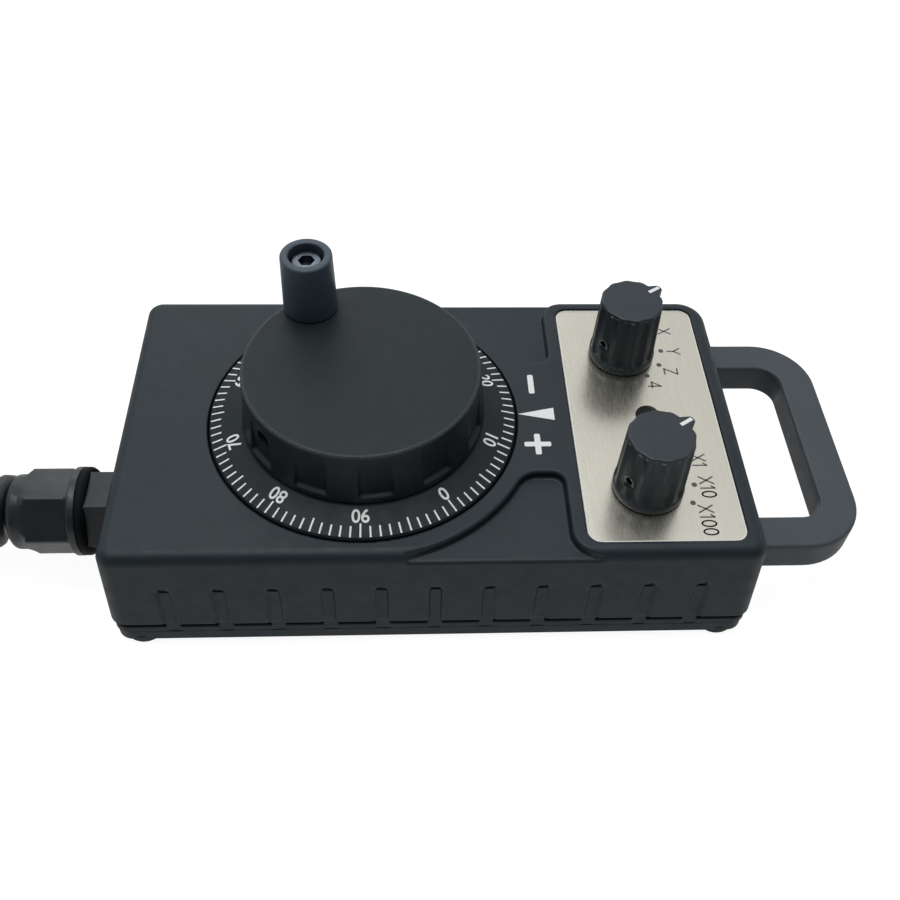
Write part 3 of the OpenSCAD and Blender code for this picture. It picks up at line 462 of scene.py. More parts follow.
def make_camera():
    """Camera at the photograph's viewing angle, with a slight roll."""
    azimuth, elevation, roll = (math.radians(d) for d in (-4.19, 49.99, 2.79))
    back = Vector((
        math.sin(azimuth) * math.cos(elevation),
        -math.cos(azimuth) * math.cos(elevation),
        math.sin(elevation),
    ))
    right = Vector((0, 0, 1)).cross(back).normalized()
    up = back.cross(right)
    rolled_right = right * math.cos(roll) + up * math.sin(roll)
    rolled_up = up * math.cos(roll) - right * math.sin(roll)
    data = bpy.data.cameras.new("camera")
    data.lens = 40.89
    data.sensor_width = 36
    data.clip_start = 0.01
    camera = add_object("camera", data)
    place = Matrix((rolled_right, rolled_up, back)).transposed().to_4x4()
    place.translation = Vector((-5.9, -132.2, TOP + 147.2)) * MM
    camera.matrix_world = place
    bpy.context.scene.camera = camera


# ---- curly cord

CORD_D = 13.1
WIRE_D = 4.5
GLAND_END = NECK_END - 0.2
START_TURN = math.radians(200)
CORD_Y = 26.8
CORD_LOW = CORD_D / 2
CORD_ROUTE = [
    (-GLAND_END, GLAND_Y, GLAND_Z), (-88, GLAND_Y, GLAND_Z), (-95, GLAND_Y, 14),
    (-102, GLAND_Y, 12.8), (-110, GLAND_Y, 11.2), (-118, GLAND_Y, 9.5), (-126, GLAND_Y, 8.1),
    (-134, GLAND_Y, 7.1),
]
CORD_ROUTE += [(x, GLAND_Y, CORD_LOW) for x in (-142, -152, -164, -176, -188, -202, -215)]
CORD_ROUTE += [(x, y, CORD_LOW) for x, y in (
    (-222.7, -11.7), (-229.1, -7.3), (-233.5, -0.9), (-235, 6.8), (-233.5, 14.5),
    (-229.1, 20.9), (-222.7, 25.3))]
CORD_ROUTE += [(x, CORD_Y, CORD_LOW) for x in (-215, -202, -190, -178, -166, -156, -146)]


def smooth_route(route, step):
    """Points every step millimetres along a Catmull-Rom curve through the route."""
    p = np.array([route[0], *route, route[-1]], float)
    dense = []
    for i in range(1, len(p) - 2):
        t = np.linspace(0, 1, 60, endpoint=False)[:, None]
        a, b, c, d = p[i - 1 : i + 3]
        dense.append(0.5 * (
            2 * b + (c - a) * t + (2 * a - 5 * b + 4 * c - d) * t**2 + (3 * b - a - 3 * c + d) * t**3
        ))
    dense = np.vstack([*dense, p[-2:-1]])
    length = np.r_[0, np.cumsum(np.linalg.norm(np.diff(dense, axis=0), axis=1))]
    at = np.arange(0, length[-1], step)
    return np.c_[[np.interp(at, length, dense[:, k]) for k in range(3)]].T


def wound_wire():
    """Middle line of the wire, a helix round the route that opens from the gland and closes at
    the plug."""
    step, points_per_turn, coil_r = 0.25, 16, (CORD_D - WIRE_D) / 2
    line = smooth_route(CORD_ROUTE, step)
    way = np.gradient(line, axis=0)
    way /= np.linalg.norm(way, axis=1)[:, None]
    side = np.cross(way, (0, 0, 1))
    side /= np.linalg.norm(side, axis=1)[:, None]
    up = np.cross(side, way)
    bend = np.linalg.norm(np.gradient(way, axis=0), axis=1) / step
    bend = np.convolve(np.pad(bend, 20, mode="edge"), np.ones(41) / 41, mode="valid")
    pitch = 4.75 / (1 - np.clip(bend * coil_r, 0, 0.3))
    phase = np.cumsum(TAU * step / pitch)
    run = np.arange(len(line)) * step
    opening = np.sin(np.clip(run / 1.3, 0, 1) * math.pi / 2)
    closing = np.sin(np.clip((run[-1] - run) / 4.0, 0, 1) * math.pi / 2)
    radius = coil_r * (1 + 0.18 * np.exp(-run / 14)) * opening * closing
    turn = START_TURN - phase
    helix = line + radius[:, None] * (np.cos(turn)[:, None] * up + np.sin(turn)[:, None] * side)
    at = np.linspace(0, phase[-1], int(phase[-1] / TAU * points_per_turn))
    return np.array([np.interp(at, phase, helix[:, k]) for k in range(3)]).T


def make_cord():
    """The coil's wire, a pipe along the helix."""
    points = wound_wire() * MM
    curve = bpy.data.curves.new("curly_cord_wire", "CURVE")
    curve.dimensions = "3D"
    spline = curve.splines.new("POLY")
    spline.points.add(len(points) - 1)
    spline.points.foreach_set("co", np.c_[points, np.ones(len(points))].ravel())
    curve.bevel_depth = WIRE_D / 2 * MM
    curve.bevel_resolution = 4
    curve.use_fill_caps = True
    curve.materials.append(CABLE)
    wire = add_object("curly_cord_wire", curve)
    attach(wire, "housing")
    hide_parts("curly_cord")


# ---- cable gland

def hexagon(flats, vertex, clip):
    """Limits a turned radius to a hexagon between two heights."""
    def shape(angle, r, z):
        if not clip[0] <= z <= clip[1]:
            return r
        away = (angle - math.radians(vertex)) % (TAU / 6) - TAU / 12
        return min(r, flats / 2 / math.cos(away))
    return shape


def hexagon_angles(vertex):
    """Angles of an even turn, with some beside each of a hexagon's vertices."""
    corners = [math.radians(vertex + 60 * k + d) for k in range(6) for d in (-1.2, 0, 1.2)]
    return sorted(set(round(a % TAU, 5) for a in corners + full_turn(96)))


def make_gland():
    """Hexagon body, dark seal ring and clamping nut with its round collar and neck."""
    spot, way = (0, GLAND_Y, GLAND_Z), (-1, 0, 0)
    seat, shoulder, nut_foot, collar, nut_end = HALF_L + 0.2, 64.5, 66.2, 67.6, 76.9
    vertex_r = 8.28

    def add(name, corners, angles, shape, material=NYLON, steps=5, sharp=32):
        points, faces = turned(fillet(corners, steps), angles, shape)
        points = along(points, spot, way)
        return new_piece(name, points, faces, "housing", "gland_nylon", material, sharp)

    body = [
        (0, seat, 0), (8.2, seat, 0), (8.2, shoulder, 0), (6.0, shoulder, 0), (6.0, 74.5, 0),
        (0, 74.5, 0),
    ]
    piece = add("gland_hexagon", body, hexagon_angles(-32), hexagon(14.0, -32, (0, shoulder)))
    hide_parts("gland_body")
    ring = [
        (5.8, shoulder - 0.1, 0), (8.0, shoulder - 0.1, 0.5), (8.45, shoulder + 0.6, 0.3),
        (8.45, nut_foot - 0.05, 0.15), (5.8, nut_foot - 0.05, 0), (5.8, shoulder - 0.1, 0),
    ]
    add("gland_seal_ring", ring, full_turn(96), None, DARK_SEAL_AND_SHADE)
    nut = [
        (0, nut_foot, 0), (8.5, nut_foot, 0.15), (8.5, collar, 0.3), (vertex_r - 0.35, collar + 0.05, 0),
        (vertex_r, 68.2, 0), (vertex_r, 75.5, 0), (7.15, nut_end, 0), (7.15, NECK_END, 1.2),
        (2.7, NECK_END, 0.2), (2.7, 77, 0), (0, 77, 0),
    ]
    hexagonal = hexagon(14.6, -20, (collar + 0.04, nut_end - 0.02))
    piece = add("gland_nut", nut, hexagon_angles(-20), hexagonal, steps=6, sharp=25)
    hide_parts("gland_clamp_nut")


# ---- casing

def round_max(a, b, radius):
    """Intersection of two distance fields, with the edge between them rounded."""
    both = np.sqrt(np.maximum(a + radius, 0) ** 2 + np.maximum(b + radius, 0) ** 2)
    return both + np.minimum(np.maximum(a, b) + radius, 0) - radius


def cut(body, tool, radius):
    """A body without a tool's shape, with the edge between them rounded."""
    return round_max(body, -tool, radius)


def casing_field(x, y, z):
    """Signed distance to the casing's outside, in millimetres: negative inside."""
    relief, ledge, foot = 0.5, TOP - 19.8, SHELL_LOW.z
    over = TOP - z
    wall_x = np.abs(x) - HALF_L - SLOPE * over
    wall_y = np.abs(y) - HALF_W - SLOPE * over
    rear_right = np.clip(x / 15, 0, 1) * np.clip(y / 10, 0, 1) * np.clip((z - ledge) / 9, 0, 1)
    walls = round_max(wall_x, wall_y, 3.0 + 2.6 * rear_right)
    body = round_max(walls, z - TOP, 2.2)
    upper = round_max(body, ledge - z, 0.3)
    body = np.minimum(upper, np.maximum(body + relief, z - ledge - 0.4))
    # slots in the long walls, with round tops; their outer sides slope
    pitch, width, slot_top = 9.7, 2.1, TOP - 9
    nearest = pitch * np.clip(np.round(x / pitch), -5, 5)
    above = np.maximum(z - (slot_top - width / 2), 0)
    outward = np.where(nearest * (x - nearest) > 0, 0.9, 0.0)
    slot = np.sqrt((x - nearest) ** 2 + above**2) - width / 2 - outward * np.clip(relief + wall_y, 0, 1)
    body = cut(body, np.maximum(slot, -wall_y - relief), 0.3)
    # a deeper spot at each slot's top and a groove under each pad
    deep = np.sqrt((x - nearest) ** 2 + (z - slot_top + width / 2) ** 2) - width / 2 + 0.1
    body = np.maximum(body, -np.maximum(np.maximum(deep, slot_top - 1.25 - z), -wall_y - relief - 0.3))
    under = np.maximum(np.abs(z - ledge + 0.6) - 0.6, 0.35 - slot - 3.0 * (np.abs(x) > 53))
    body = np.maximum(body, -np.maximum(under, -walls - relief - 0.55))
    # thumb notches beside the dial
    far = np.abs(y)
    from_dial = np.sqrt((x - DIAL_X) ** 2 + y**2)
    bulge = np.clip(far - 27.5, 0, 5)
    right_edge = 24.1 + 5 - np.sqrt(25 - bulge**2)
    notch = round_max(33.2 - from_dial, 14.4 - far, 2.3)
    notch = round_max(notch, x - right_edge, 2.3)
    notch = np.maximum(notch, DIAL_X + 8 - x)
    body = cut(body, round_max(notch, TOP - 1.8 - z, 0.5), 0.7)
    # recesses for the dial and the face plate
    body = cut(body, np.maximum(from_dial - DIAL_R - 0.35, TOP - 3.9 - z), 0.25)
    half_x = (PLATE_HIGH.x - PLATE_LOW.x) / 2 + 0.15
    half_y = PLATE_HIGH.y + 0.15
    plate = round_max(
        np.abs(x - (PLATE_LOW.x + PLATE_HIGH.x) / 2) - half_x, far - half_y, PLATE_CORNER + 0.2)
    body = cut(body, np.maximum(plate, PLATE_LOW.z - z), 0.25)
    return np.maximum(body, foot - 0.3 - z)


def net_of(field, low, step):
    """Points and quads of the zero surface of a sampled distance field, one point per cell."""
    inside = field < 0
    cells = np.array(field.shape) - 1
    total = int(np.prod(cells))
    sums = np.zeros((3, total))
    counts = np.zeros(total)
    quads = []
    for axis in range(3):
        first = [slice(None)] * 3
        second = [slice(None)] * 3
        first[axis] = slice(0, -1)
        second[axis] = slice(1, None)
        a, b = field[tuple(first)], field[tuple(second)]
        crossing = np.argwhere(inside[tuple(first)] != inside[tuple(second)])
        others = [k for k in range(3) if k != axis]
        keep = np.all([(crossing[:, k] > 0) & (crossing[:, k] < cells[k]) for k in others], axis=0)
        crossing = crossing[keep]
        fa, fb = a[tuple(crossing.T)], b[tuple(crossing.T)]
        where = crossing.astype(float)
        where[:, axis] += fa / (fa - fb)
        corner = []
        for du, dv in ((0, 0), (1, 0), (1, 1), (0, 1)):
            cell = crossing.copy()
            cell[:, others[0]] -= du
            cell[:, others[1]] -= dv
            flat = np.ravel_multi_index(cell.T, cells)
            corner.append(flat)
            counts += np.bincount(flat, minlength=total)
            for k in range(3):
                sums[k] += np.bincount(flat, weights=where[:, k], minlength=total)
        quad = np.array(corner).T
        flip = (fa < 0) == (axis == 1)
        quad[flip] = quad[flip][:, ::-1]
        quads.append(quad)
    used = np.flatnonzero(counts)
    number = np.full(total, -1)
    number[used] = np.arange(len(used))
    points = (sums[:, used] / counts[used]).T * step + low
    return points, number[np.vstack(quads)]


def make_casing():
    """The casing's skin from its distance field, on a grid set a little off the flat faces."""
    step, kept, off = 0.32, 0.14, 0.013
    low = np.array([-62.0, -36.0, SHELL_LOW.z - 1]) + off
    high = np.array([62.0, 36.0, TOP + 1])
    axes = [np.arange(low[k], high[k], step) for k in range(3)]
    x, y, z = np.meshgrid(*axes, indexing="ij", sparse=True)
    field = casing_field(x.astype(np.float32), y.astype(np.float32), z.astype(np.float32))
    points, quads = net_of(field, low, step)
    mesh = bpy.data.meshes.new("casing_shell")
    mesh.from_pydata((points * MM).tolist(), [], quads.tolist())
    piece = add_object("casing_shell", mesh)
    thin = piece.modifiers.new("thin", "DECIMATE")
    thin.ratio = kept
    apply_modifiers(piece)
    piece.data.materials.append(CASING)
    set_field_normals(piece.data, casing_field)
    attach(piece, "housing")
    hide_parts("housing_shell")


def final_mesh(thing):
    """Mesh of the shape that an object's modifiers or text give."""
    bpy.context.view_layer.update()
    seen = thing.evaluated_get(bpy.context.evaluated_depsgraph_get())
    return bpy.data.meshes.new_from_object(seen)


def apply_modifiers(piece):
    """Keeps the shape that the modifiers give, as the piece's own mesh."""
    solid = final_mesh(piece)
    piece.modifiers.clear()
    piece.data = solid


def set_field_normals(mesh, field, reach=0.12):
    """Shades a mesh by the slope of its distance field, so that flats stay flat."""
    mesh.polygons.foreach_set("use_smooth", [True] * len(mesh.polygons))
    p = np.empty(len(mesh.vertices) * 3)
    mesh.vertices.foreach_get("co", p)
    p = p.reshape(-1, 3) / MM
    slope = np.empty_like(p)
    for k in range(3):
        more, less = p.copy(), p.copy()
        more[:, k] += reach
        less[:, k] -= reach
        slope[:, k] = field(*more.T) - field(*less.T)
    slope /= np.maximum(np.linalg.norm(slope, axis=1), 1e-9)[:, None]
    mesh.normals_split_custom_set_from_vertices(slope.tolist())


def make_handle():
    """The U-shaped bar, swept with a rounded section."""
    low, high = node_box("carry_handle")
    bar, thick, bend = 7.1, high.z - low.z, 8.0
    mid_z = (high.z + low.z) / 2
    out_x, near, far = high.x + 0.5 - bar / 2, high.y + 0.75 - bar / 2, high.y + 0.45 - bar / 2
    path = []
    for side, reach in ((-1, near), (1, far)):
        leg = [((HALF_L - 1.5, side * reach), (0, side))]
        for k in range(15):
            a = math.radians(90 - 90 * k / 14)
            c, s = math.cos(a), math.sin(a)
            leg.append(((out_x - bend + bend * c, side * (reach - bend + bend * s)), (c, side * s)))
        path += leg if side < 0 else leg[::-1]
    section = fillet([
        (0, -thick / 2, 0), (bar / 2, -thick / 2, 0.9), (bar / 2, thick / 2, 0.7),
        (-bar / 2, thick / 2, 0.7), (-bar / 2, -thick / 2, 0.9), (0, -thick / 2, 0),
    ])[:-1]
    points, faces, n = [], [], len(section)
    for (x, y), (nx, ny) in path:
        points += [(x + nx * a, y + ny * a, mid_z + b) for a, b in section]
    for i in range(len(path) - 1):
        for k in range(n):
            j = (k + 1) % n
            faces.append((i * n + k, i * n + j, (i + 1) * n + j, (i + 1) * n + k))
    faces.append(tuple(reversed(range(n))))
    faces.append(tuple(range((len(path) - 1) * n, len(path) * n)))
    piece = new_piece("handle_bar", points, faces, "housing", "handle_plastic", HANDLE)
    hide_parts("carry_handle")


def make_feet():
    """Round pads under the corners, a little inside the cover's sides."""
    foot_r, edge, high = 4.0, 1.1, node_box("rubber_feet")[1].z
    outline = fillet([(0, 0, 0), (foot_r, 0, edge), (foot_r, high, 0.2), (0, high, 0)], 6)
    parts = [
        turned(outline, full_turn(64), None, (side * 55.0, end * 29.9))
        for side in (-1, 1) for end in (-1, 1)
    ]
    feet = new_piece("foot_pads", *merged(parts), "housing", "foot_rubber", FOOT)
    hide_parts("rubber_feet")


def soften(node, width):
    """Rounds a CAD node's sharp edges."""
    piece, limit = frame["nodes"][node], 30
    edge = piece.modifiers.new("edges", "BEVEL")
    edge.width = width * MM
    edge.segments = 2
    edge.limit_method = "ANGLE"
    edge.angle_limit = math.radians(limit)
    edge.harden_normals = False
    smooth(piece.data, limit)
    flatten_shading(piece)


# ---- handwheel

# finger pockets: how many, and their angles in degrees
POCKETS = 12
POCKET_PITCH = 30
POCKET_HALF = 7.5
POCKET_START = -53


def soft_step(value, edge, width):
    """Rises smoothly from 0 to 1 across a width about an edge."""
    t = max(0.0, min(1.0, (value - edge) / width + 0.5))
    return t * t * (3 - 2 * t)


def make_knob():
    """Knob skin with twelve finger pockets between the foot ring and the rim."""
    foot, top = KNOB_LOW, KNOB_HIGH
    pocket_low, pocket_r = foot + 1.5, KNOB_R - 1.02
    corners = [(6.5, foot, 0), (KNOB_R, foot, 0.25), (KNOB_TOP_R, top, 0.6), (0, top, 0)]
    outline = fillet(corners, 8)
    split = next(i for i, (r, z) in enumerate(outline) if z > foot + 1)
    heights = [pocket_low + d for d in (-0.45, -0.25, -0.1, 0, 0.1, 0.25, 0.45, 0.8)]
    heights += list(np.linspace(pocket_low + 1.5, top - 1.4, 8))
    side = [
        (KNOB_R + (KNOB_TOP_R - KNOB_R) * (h - foot) / (top - foot), h)
        for h in heights if h < outline[split][1]
    ]
    profile = [(0, foot), *outline[:split], *side, *outline[split:]]
    offsets = [e + d for e in (-POCKET_HALF, POCKET_HALF) for d in (-1.2, -0.6, -0.25, 0.25, 0.6, 1.2)]
    offsets += [-5, -2.5, 0, 2.5, 5, 10, 12.5, 15, 17.5, 20]
    turns = [POCKET_START + POCKET_PITCH * k + d for k in range(POCKETS) for d in offsets]
    angles = sorted(math.radians(turn % 360) for turn in turns)

    def shape(angle, r, z):
        if r < KNOB_TOP_R - 1.2:
            return r
        half = POCKET_PITCH / 2
        away = abs((math.degrees(angle) - POCKET_START + half) % POCKET_PITCH - half)
        across = 1 - soft_step(away, POCKET_HALF, 1.3)
        return r - max(0, r - pocket_r) * across * soft_step(z, pocket_low, 0.45)

    points, faces = turned(profile, angles, shape, (DIAL_X, 0))
    piece = new_piece("knob_skin", points, faces, "handwheel", "knob_plastic", KNOB, 40)
    # the set screw's hole, and a near-black pin in it for the screw's end: painted shade that keeps the
    # hole dark
    centre, angle = (DIAL_X, 0, top - 4.5), math.radians(-141.4)
    bore(piece, *pin(1.8, 8.5, 30, centre, angle))
    end = pin(1.76, 17, KNOB_R - 2.0, centre, angle)
    new_piece("knob_screw_end_painted_shade", *end, "handwheel", "black_steel", DARK_SEAL_AND_SHADE)
    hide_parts("handwheel_knob")


def bore(piece, points, faces, sharp=40):
    """Cuts a tool's shape out of a piece."""
    tool = add_object("tool", new_mesh("tool", points, faces))
    piece.modifiers.clear()
    cutter = piece.modifiers.new("bore", "BOOLEAN")
    cutter.operation = "DIFFERENCE"
    cutter.object = tool
    cutter.solver = "EXACT"
    apply_modifiers(piece)
    smooth(piece.data, sharp)
    flatten_shading(piece)
    bpy.data.objects.remove(tool)


def dial_height(r):
    """Height of the dial's cone at a radius."""
    return TOP + 0.3 + (DIAL_RIM - r) * (DIAL_MAX.z - TOP - 0.3) / (DIAL_RIM - DIAL_FLAT_R)


def make_dial():
    """Disc of the dial, with a cone from its rim up to the flat under the knob."""
    low, high = DIAL_MIN.z, DIAL_MAX.z
    corners = [
        (0, low, 0), (DIAL_R, low, 0.15), (DIAL_R, TOP - 0.1, 0.2), (DIAL_RIM, TOP + 0.3, 0.15),
        (DIAL_FLAT_R, high, 0.6), (0, high, 0),
    ]
    points, faces = turned(fillet(corners), full_turn(288), None, (DIAL_X, 0))
    piece = new_piece("dial_disc", points, faces, "handwheel", "dial_black", DIAL)
    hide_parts("dial_ring")


def division(n):
    """Angle of one of the dial's hundred divisions."""
    return math.radians((n - 15) * 3.6 - 0.13)


def make_graduations():
    """A hundred ticks, every fifth one longer, lying on the cone."""
    outer, half = 29.0, 0.16
    parts = []
    for n in range(100):
        inner = 26.53 if n % 5 == 0 else 27.02
        points = []
        for r in (inner, (inner + outer) / 2, outer):
            for side in (-1, 1):
                a = division(n) + side * half / r
                x, y, z = DIAL_X + r * math.cos(a), r * math.sin(a), dial_height(r)
                points += [(x, y, z + UNDER), (x, y, z + INK)]
        faces = [(0, 2, 3, 1), (8, 9, 11, 10)]
        for k in (0, 4):
            faces += [(k, k + 1, k + 5, k + 4), (k + 1, k + 3, k + 7, k + 5)]
            faces += [(k + 3, k + 2, k + 6, k + 7), (k + 2, k, k + 4, k + 6)]
        parts.append((points, faces))
    new_piece("dial_ticks", *merged(parts), "handwheel", "dial_black", WHITE, 20)


def lettering(text, bold):
    """Thin mesh of a text, as points in units of its own height, and faces."""
    data = bpy.data.curves.new("lettering", "FONT")
    data.body = text
    data.align_x = "CENTER"
    data.offset = bold
    data.resolution_u = 6
    data.extrude = 0.01
    holder = add_object("lettering", data)
    mesh = final_mesh(holder)
    points = np.array([v.co for v in mesh.vertices])
    faces = [tuple(f.vertices) for f in mesh.polygons]
    bpy.data.objects.remove(holder)
    low, high = points.min(0), points.max(0)
    points -= (low + high) / 2
    tall = high[1] - low[1]
    points[:, :2] /= tall
    return points, faces


def make_numerals():
    """Numbers every ten divisions, with their tops outwards."""
    middle_r, tall, narrowing = 25.15, 2.5, 0.98
    parts = []
    for n in range(0, 100, 10):
        points, faces = lettering(str(n), 0.016)
        a = division(n)
        outward = Vector((math.cos(a), math.sin(a)))
        right = Vector((outward.y, -outward.x))
        placed = []
        for x, y, z in points:
            p = outward * (middle_r + y * tall) + right * (x * tall * narrowing)
            lift = INK if z > 0 else UNDER
            placed.append((DIAL_X + p.x, p.y, dial_height(p.length) + lift))
        parts.append((placed, faces))
    new_piece("dial_numerals", *merged(parts), "handwheel", "dial_black", WHITE, 20)


def hexagon_socket(inner, above):
    """Turns a screw's rings within a radius and above a height into hexagons."""
    def shape(angle, r, z):
        in_socket = r < inner and z > above
        return r * 0.87 / math.cos(angle % (TAU / 6) - TAU / 12) if in_socket else r
    return shape


def make_grip():
    """The crank's barrel, and the screw that it turns on."""
    low, high = GRIP_LOW.z, GRIP_HIGH.z
    top_r = GRIP_R - 0.36
    corners = [
        (2.05, low, 0), (GRIP_R, low, 0.25), (top_r, high, 0.45), (3.3, high, 0.35),
        (3.3, low + 6.4, 0.2), (2.05, low + 6.4, 0), (2.05, low, 0),
    ]
    points, faces = turned(fillet(corners), full_turn(128), None, GRIP_SPOT)
    piece = new_piece("grip_barrel", points, faces, "crank_grip_body", "knob_plastic", GRIP)
    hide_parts("crank_grip")
    # the screw's head with its hexagon socket
    head, seat = high - 1.35, KNOB_HIGH - 0.5
    corners = [
        (0, seat, 0), (2.0, seat, 0), (2.0, low + 6.5, 0.1), (2.8, low + 6.5, 0.1), (2.8, head, 0.25),
        (1.55, head, 0.12), (1.45, head - 1.6, 0), (0, head - 1.7, 0),
    ]
    socket = hexagon_socket(1.6, head - 1.65)
    points, faces = turned(fillet(corners), full_turn(72), socket, GRIP_SPOT)
    piece = new_piece("crank_screw_head", points, faces, "handwheel", "black_steel", SCREW_HEAD)
    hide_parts("crank_screw")


def make_set_screw(name, body, centre, angle, reach):
    """A set screw's end with its hexagon socket, near the mouth of its hole."""
    corners = [
        (0, reach - 1.5, 0), (1.36, reach - 1.5, 0), (1.36, reach, 0.2), (0.8, reach, 0.1),
        (0.7, reach - 0.8, 0), (0, reach - 0.9, 0),
    ]
    points, faces = turned(fillet(corners), full_turn(48), hexagon_socket(0.85, 0))
    points = along(points, centre, (math.cos(angle), math.sin(angle), 0))
    new_piece(name, points, faces, body, "black_steel", SET_SCREW)


# ---- selectors

def nose_reach(away):
    """How far the pointer's blunt nose reaches at an angle from its middle line."""
    tip_x, tip_y, root_x, root_y = 7.45, 0.72, 6.1, 1.3
    t = abs(math.tan(away)) if abs(away) < 1.2 else 9
    if t <= tip_y / tip_x:
        return (tip_x - 0.25 * (t * tip_x / tip_y) ** 4) / math.cos(away)
    k = (root_y - tip_y) / (root_x - tip_x + 0.25)
    x = (tip_y - k * (tip_x - 0.25)) / (t - k)
    return x / math.cos(away) if x > root_x - 1.2 else 0


def make_selector(name, body, node):
    """A knob with wide shallow flutes that end in arches over its foot ring."""
    foot, top, ring = SELECTOR_LOW, SELECTOR_HIGH, 1.5
    body_r, top_r = SELECTOR_R - 0.15, SELECTOR_R - 0.55
    body_foot = foot + ring
    corners = [
        (0, foot, 0), (SELECTOR_R, foot, 0.2), (SELECTOR_R, body_foot, 0.15),
        (body_r, body_foot + 0.1, 0), (top_r, top, 0.35), (0, top, 0),
    ]
    outline = fillet(corners)
    split = next(i for i, (r, z) in enumerate(outline) if z > body_foot + 1)
    climb = top - body_foot
    rises = [0.2, 0.4, 0.6, 0.8, 1.0, 1.3, 1.7, 2.2, 3, 4.5, 6, 8, 10]
    rises += [climb - d for d in (1.6, 1.3, 1.0, 0.7)]
    extra = [(body_r + (top_r - body_r) * (up / climb), body_foot + 0.1 + up) for up in rises]
    inner = [(r, top) for r in (top_r - 0.7, top_r - 1.2)]
    profile = [*outline[:split], *extra, *outline[split:-1], *inner, outline[-1]]
    pointer = math.radians(POINTER)
    pitch = TAU / 12
    half, depth = pitch * 0.38, 0.62

    def shape(angle, r, z):
        if z < body_foot + 0.05 or r < top_r - 0.6:
            return r
        away = (angle - pointer + math.pi) % TAU - math.pi
        off = abs((away % pitch) - pitch / 2)
        rise = (z - body_foot - 0.15) / 1.7
        reach = half * math.sqrt(max(0.0, 1 - (1 - min(1.0, rise)) ** 2)) if rise > 0 else 0
        shallow = 1 - 0.72 * soft_step(z, top - 0.9, 0.5)
        cut_r = r
        if off < reach:
            cut_r -= depth * shallow * (1 - (off / reach) ** 2) * min(1, reach / half)
        edge = min(1.0, r / top_r) if z > top - 0.5 else 1.0
        taper = 1.0 - 0.012 * max(0.0, top - 2 - z)
        return max(cut_r, nose_reach(away) * edge * taper)

    offsets = np.linspace(0, pitch, 25)[:-1]
    angles = [pointer + pitch * k + d for k in range(12) for d in offsets]
    by_nose = (0.02, 0.045, 0.07, 0.09, 0.0964, 0.11, 0.14, 0.17, 0.2, 0.22)
    angles += [pointer + side * d for side in (-1, 1) for d in by_nose]
    angles = sorted(set(round(a % TAU, 5) for a in angles))
    spot = (SELECTOR_X, SELECTOR_Y[node])
    points, faces = turned(profile, angles, shape, spot)
    piece = new_piece(name, points, faces, body, "selector_plastic", SELECTOR, 30)
    centre, back = (*spot, foot + 5.6), pointer + math.pi
    bore(piece, *pin(1.4, 4.1, 12, centre, back), 30)
    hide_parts(node)
    make_set_screw(name + "_screw", body, centre, back, SELECTOR_R - 0.75)
    # the pointer's white line
    way = Vector((math.cos(pointer), math.sin(pointer)))
    across = Vector((-way.y, way.x)) * 0.36
    near, far = Vector(spot) + way * 4.4, Vector(spot) + way * 7.0
    outline = [near - across, far - across, far + across, near + across]
    line = prism([tuple(p) for p in outline], top + UNDER, top + INK)
    new_piece(name + "_line", *line, body, "selector_plastic", WHITE)


# ---- printed marks

def make_neck_marks():
    """Arrow, minus and plus beside the dial."""
    x, y, reach, half, corner = 19.85, -7.67, 2.55, 0.57, 0.22
    arm = [
        (half, -half), (reach - corner, -half), (reach, corner - half), (reach, half - corner),
        (reach - corner, half),
    ]
    plus = []
    for turn in range(4):
        c, s = round(math.cos(TAU * turn / 4)), round(math.sin(TAU * turn / 4))
        plus += [(x + u * c - v * s, y + u * s + v * c) for u, v in arm]
    long, y = reach - corner, 7.98
    minus = [
        (x - half, y - long), (x + corner - half, y - reach), (x + half - corner, y - reach),
        (x + half, y - long), (x + half, y + long), (x + half - corner, y + reach),
        (x + corner - half, y + reach), (x - half, y + long),
    ]
    arrow = [(16.65, 0), (23.7, -1.6), (23.7, 1.6)]
    marks = merged([prism(o, TOP + UNDER, TOP + INK) for o in (arrow, minus, plus)])
    new_piece("neck_marks", *marks, "housing", "casing_plastic", WHITE, 20)


# a sign's width and strokes, in units of its height
STROKES = {
    "X": (0.62, [[(0, 0), (0.62, 1)], [(0, 1), (0.62, 0)]]),
    "Y": (0.62, [[(0, 1), (0.31, 0.5)], [(0.62, 1), (0.31, 0.5), (0.31, 0)]]),
    "Z": (0.58, [[(0, 1), (0.58, 1), (0, 0), (0.58, 0)]]),
    "4": (0.6, [[(0.44, 0), (0.44, 1), (0, 0.3), (0.6, 0.3)]]),
    "1": (0.3, [[(0, 0.78), (0.2, 1), (0.2, 0)]]),
    "0": (0.5, [[
        (0.25 + 0.25 * math.sin(a), 0.5 + 0.5 * math.cos(a)) for a in np.linspace(0, TAU, 25)
    ]]),
}


def plate_outline(inset):
    """The face plate's outline, moved inwards; its corners are tighter than the solid's."""
    low, high, corner, outline = PLATE_LOW, PLATE_HIGH, PLATE_CORNER - inset, []
    for quarter, (sx, sy) in enumerate(((1, 1), (-1, 1), (-1, -1), (1, -1))):
        x = (low.x + high.x) / 2 + sx * ((high.x - low.x) / 2 - inset - corner)
        y = (low.y + high.y) / 2 + sy * ((high.y - low.y) / 2 - inset - corner)
        for k in range(9):
            a = math.radians(90 * quarter + 90 * k / 8)
            outline.append((x + corner * math.cos(a), y + corner * math.sin(a)))
    return outline


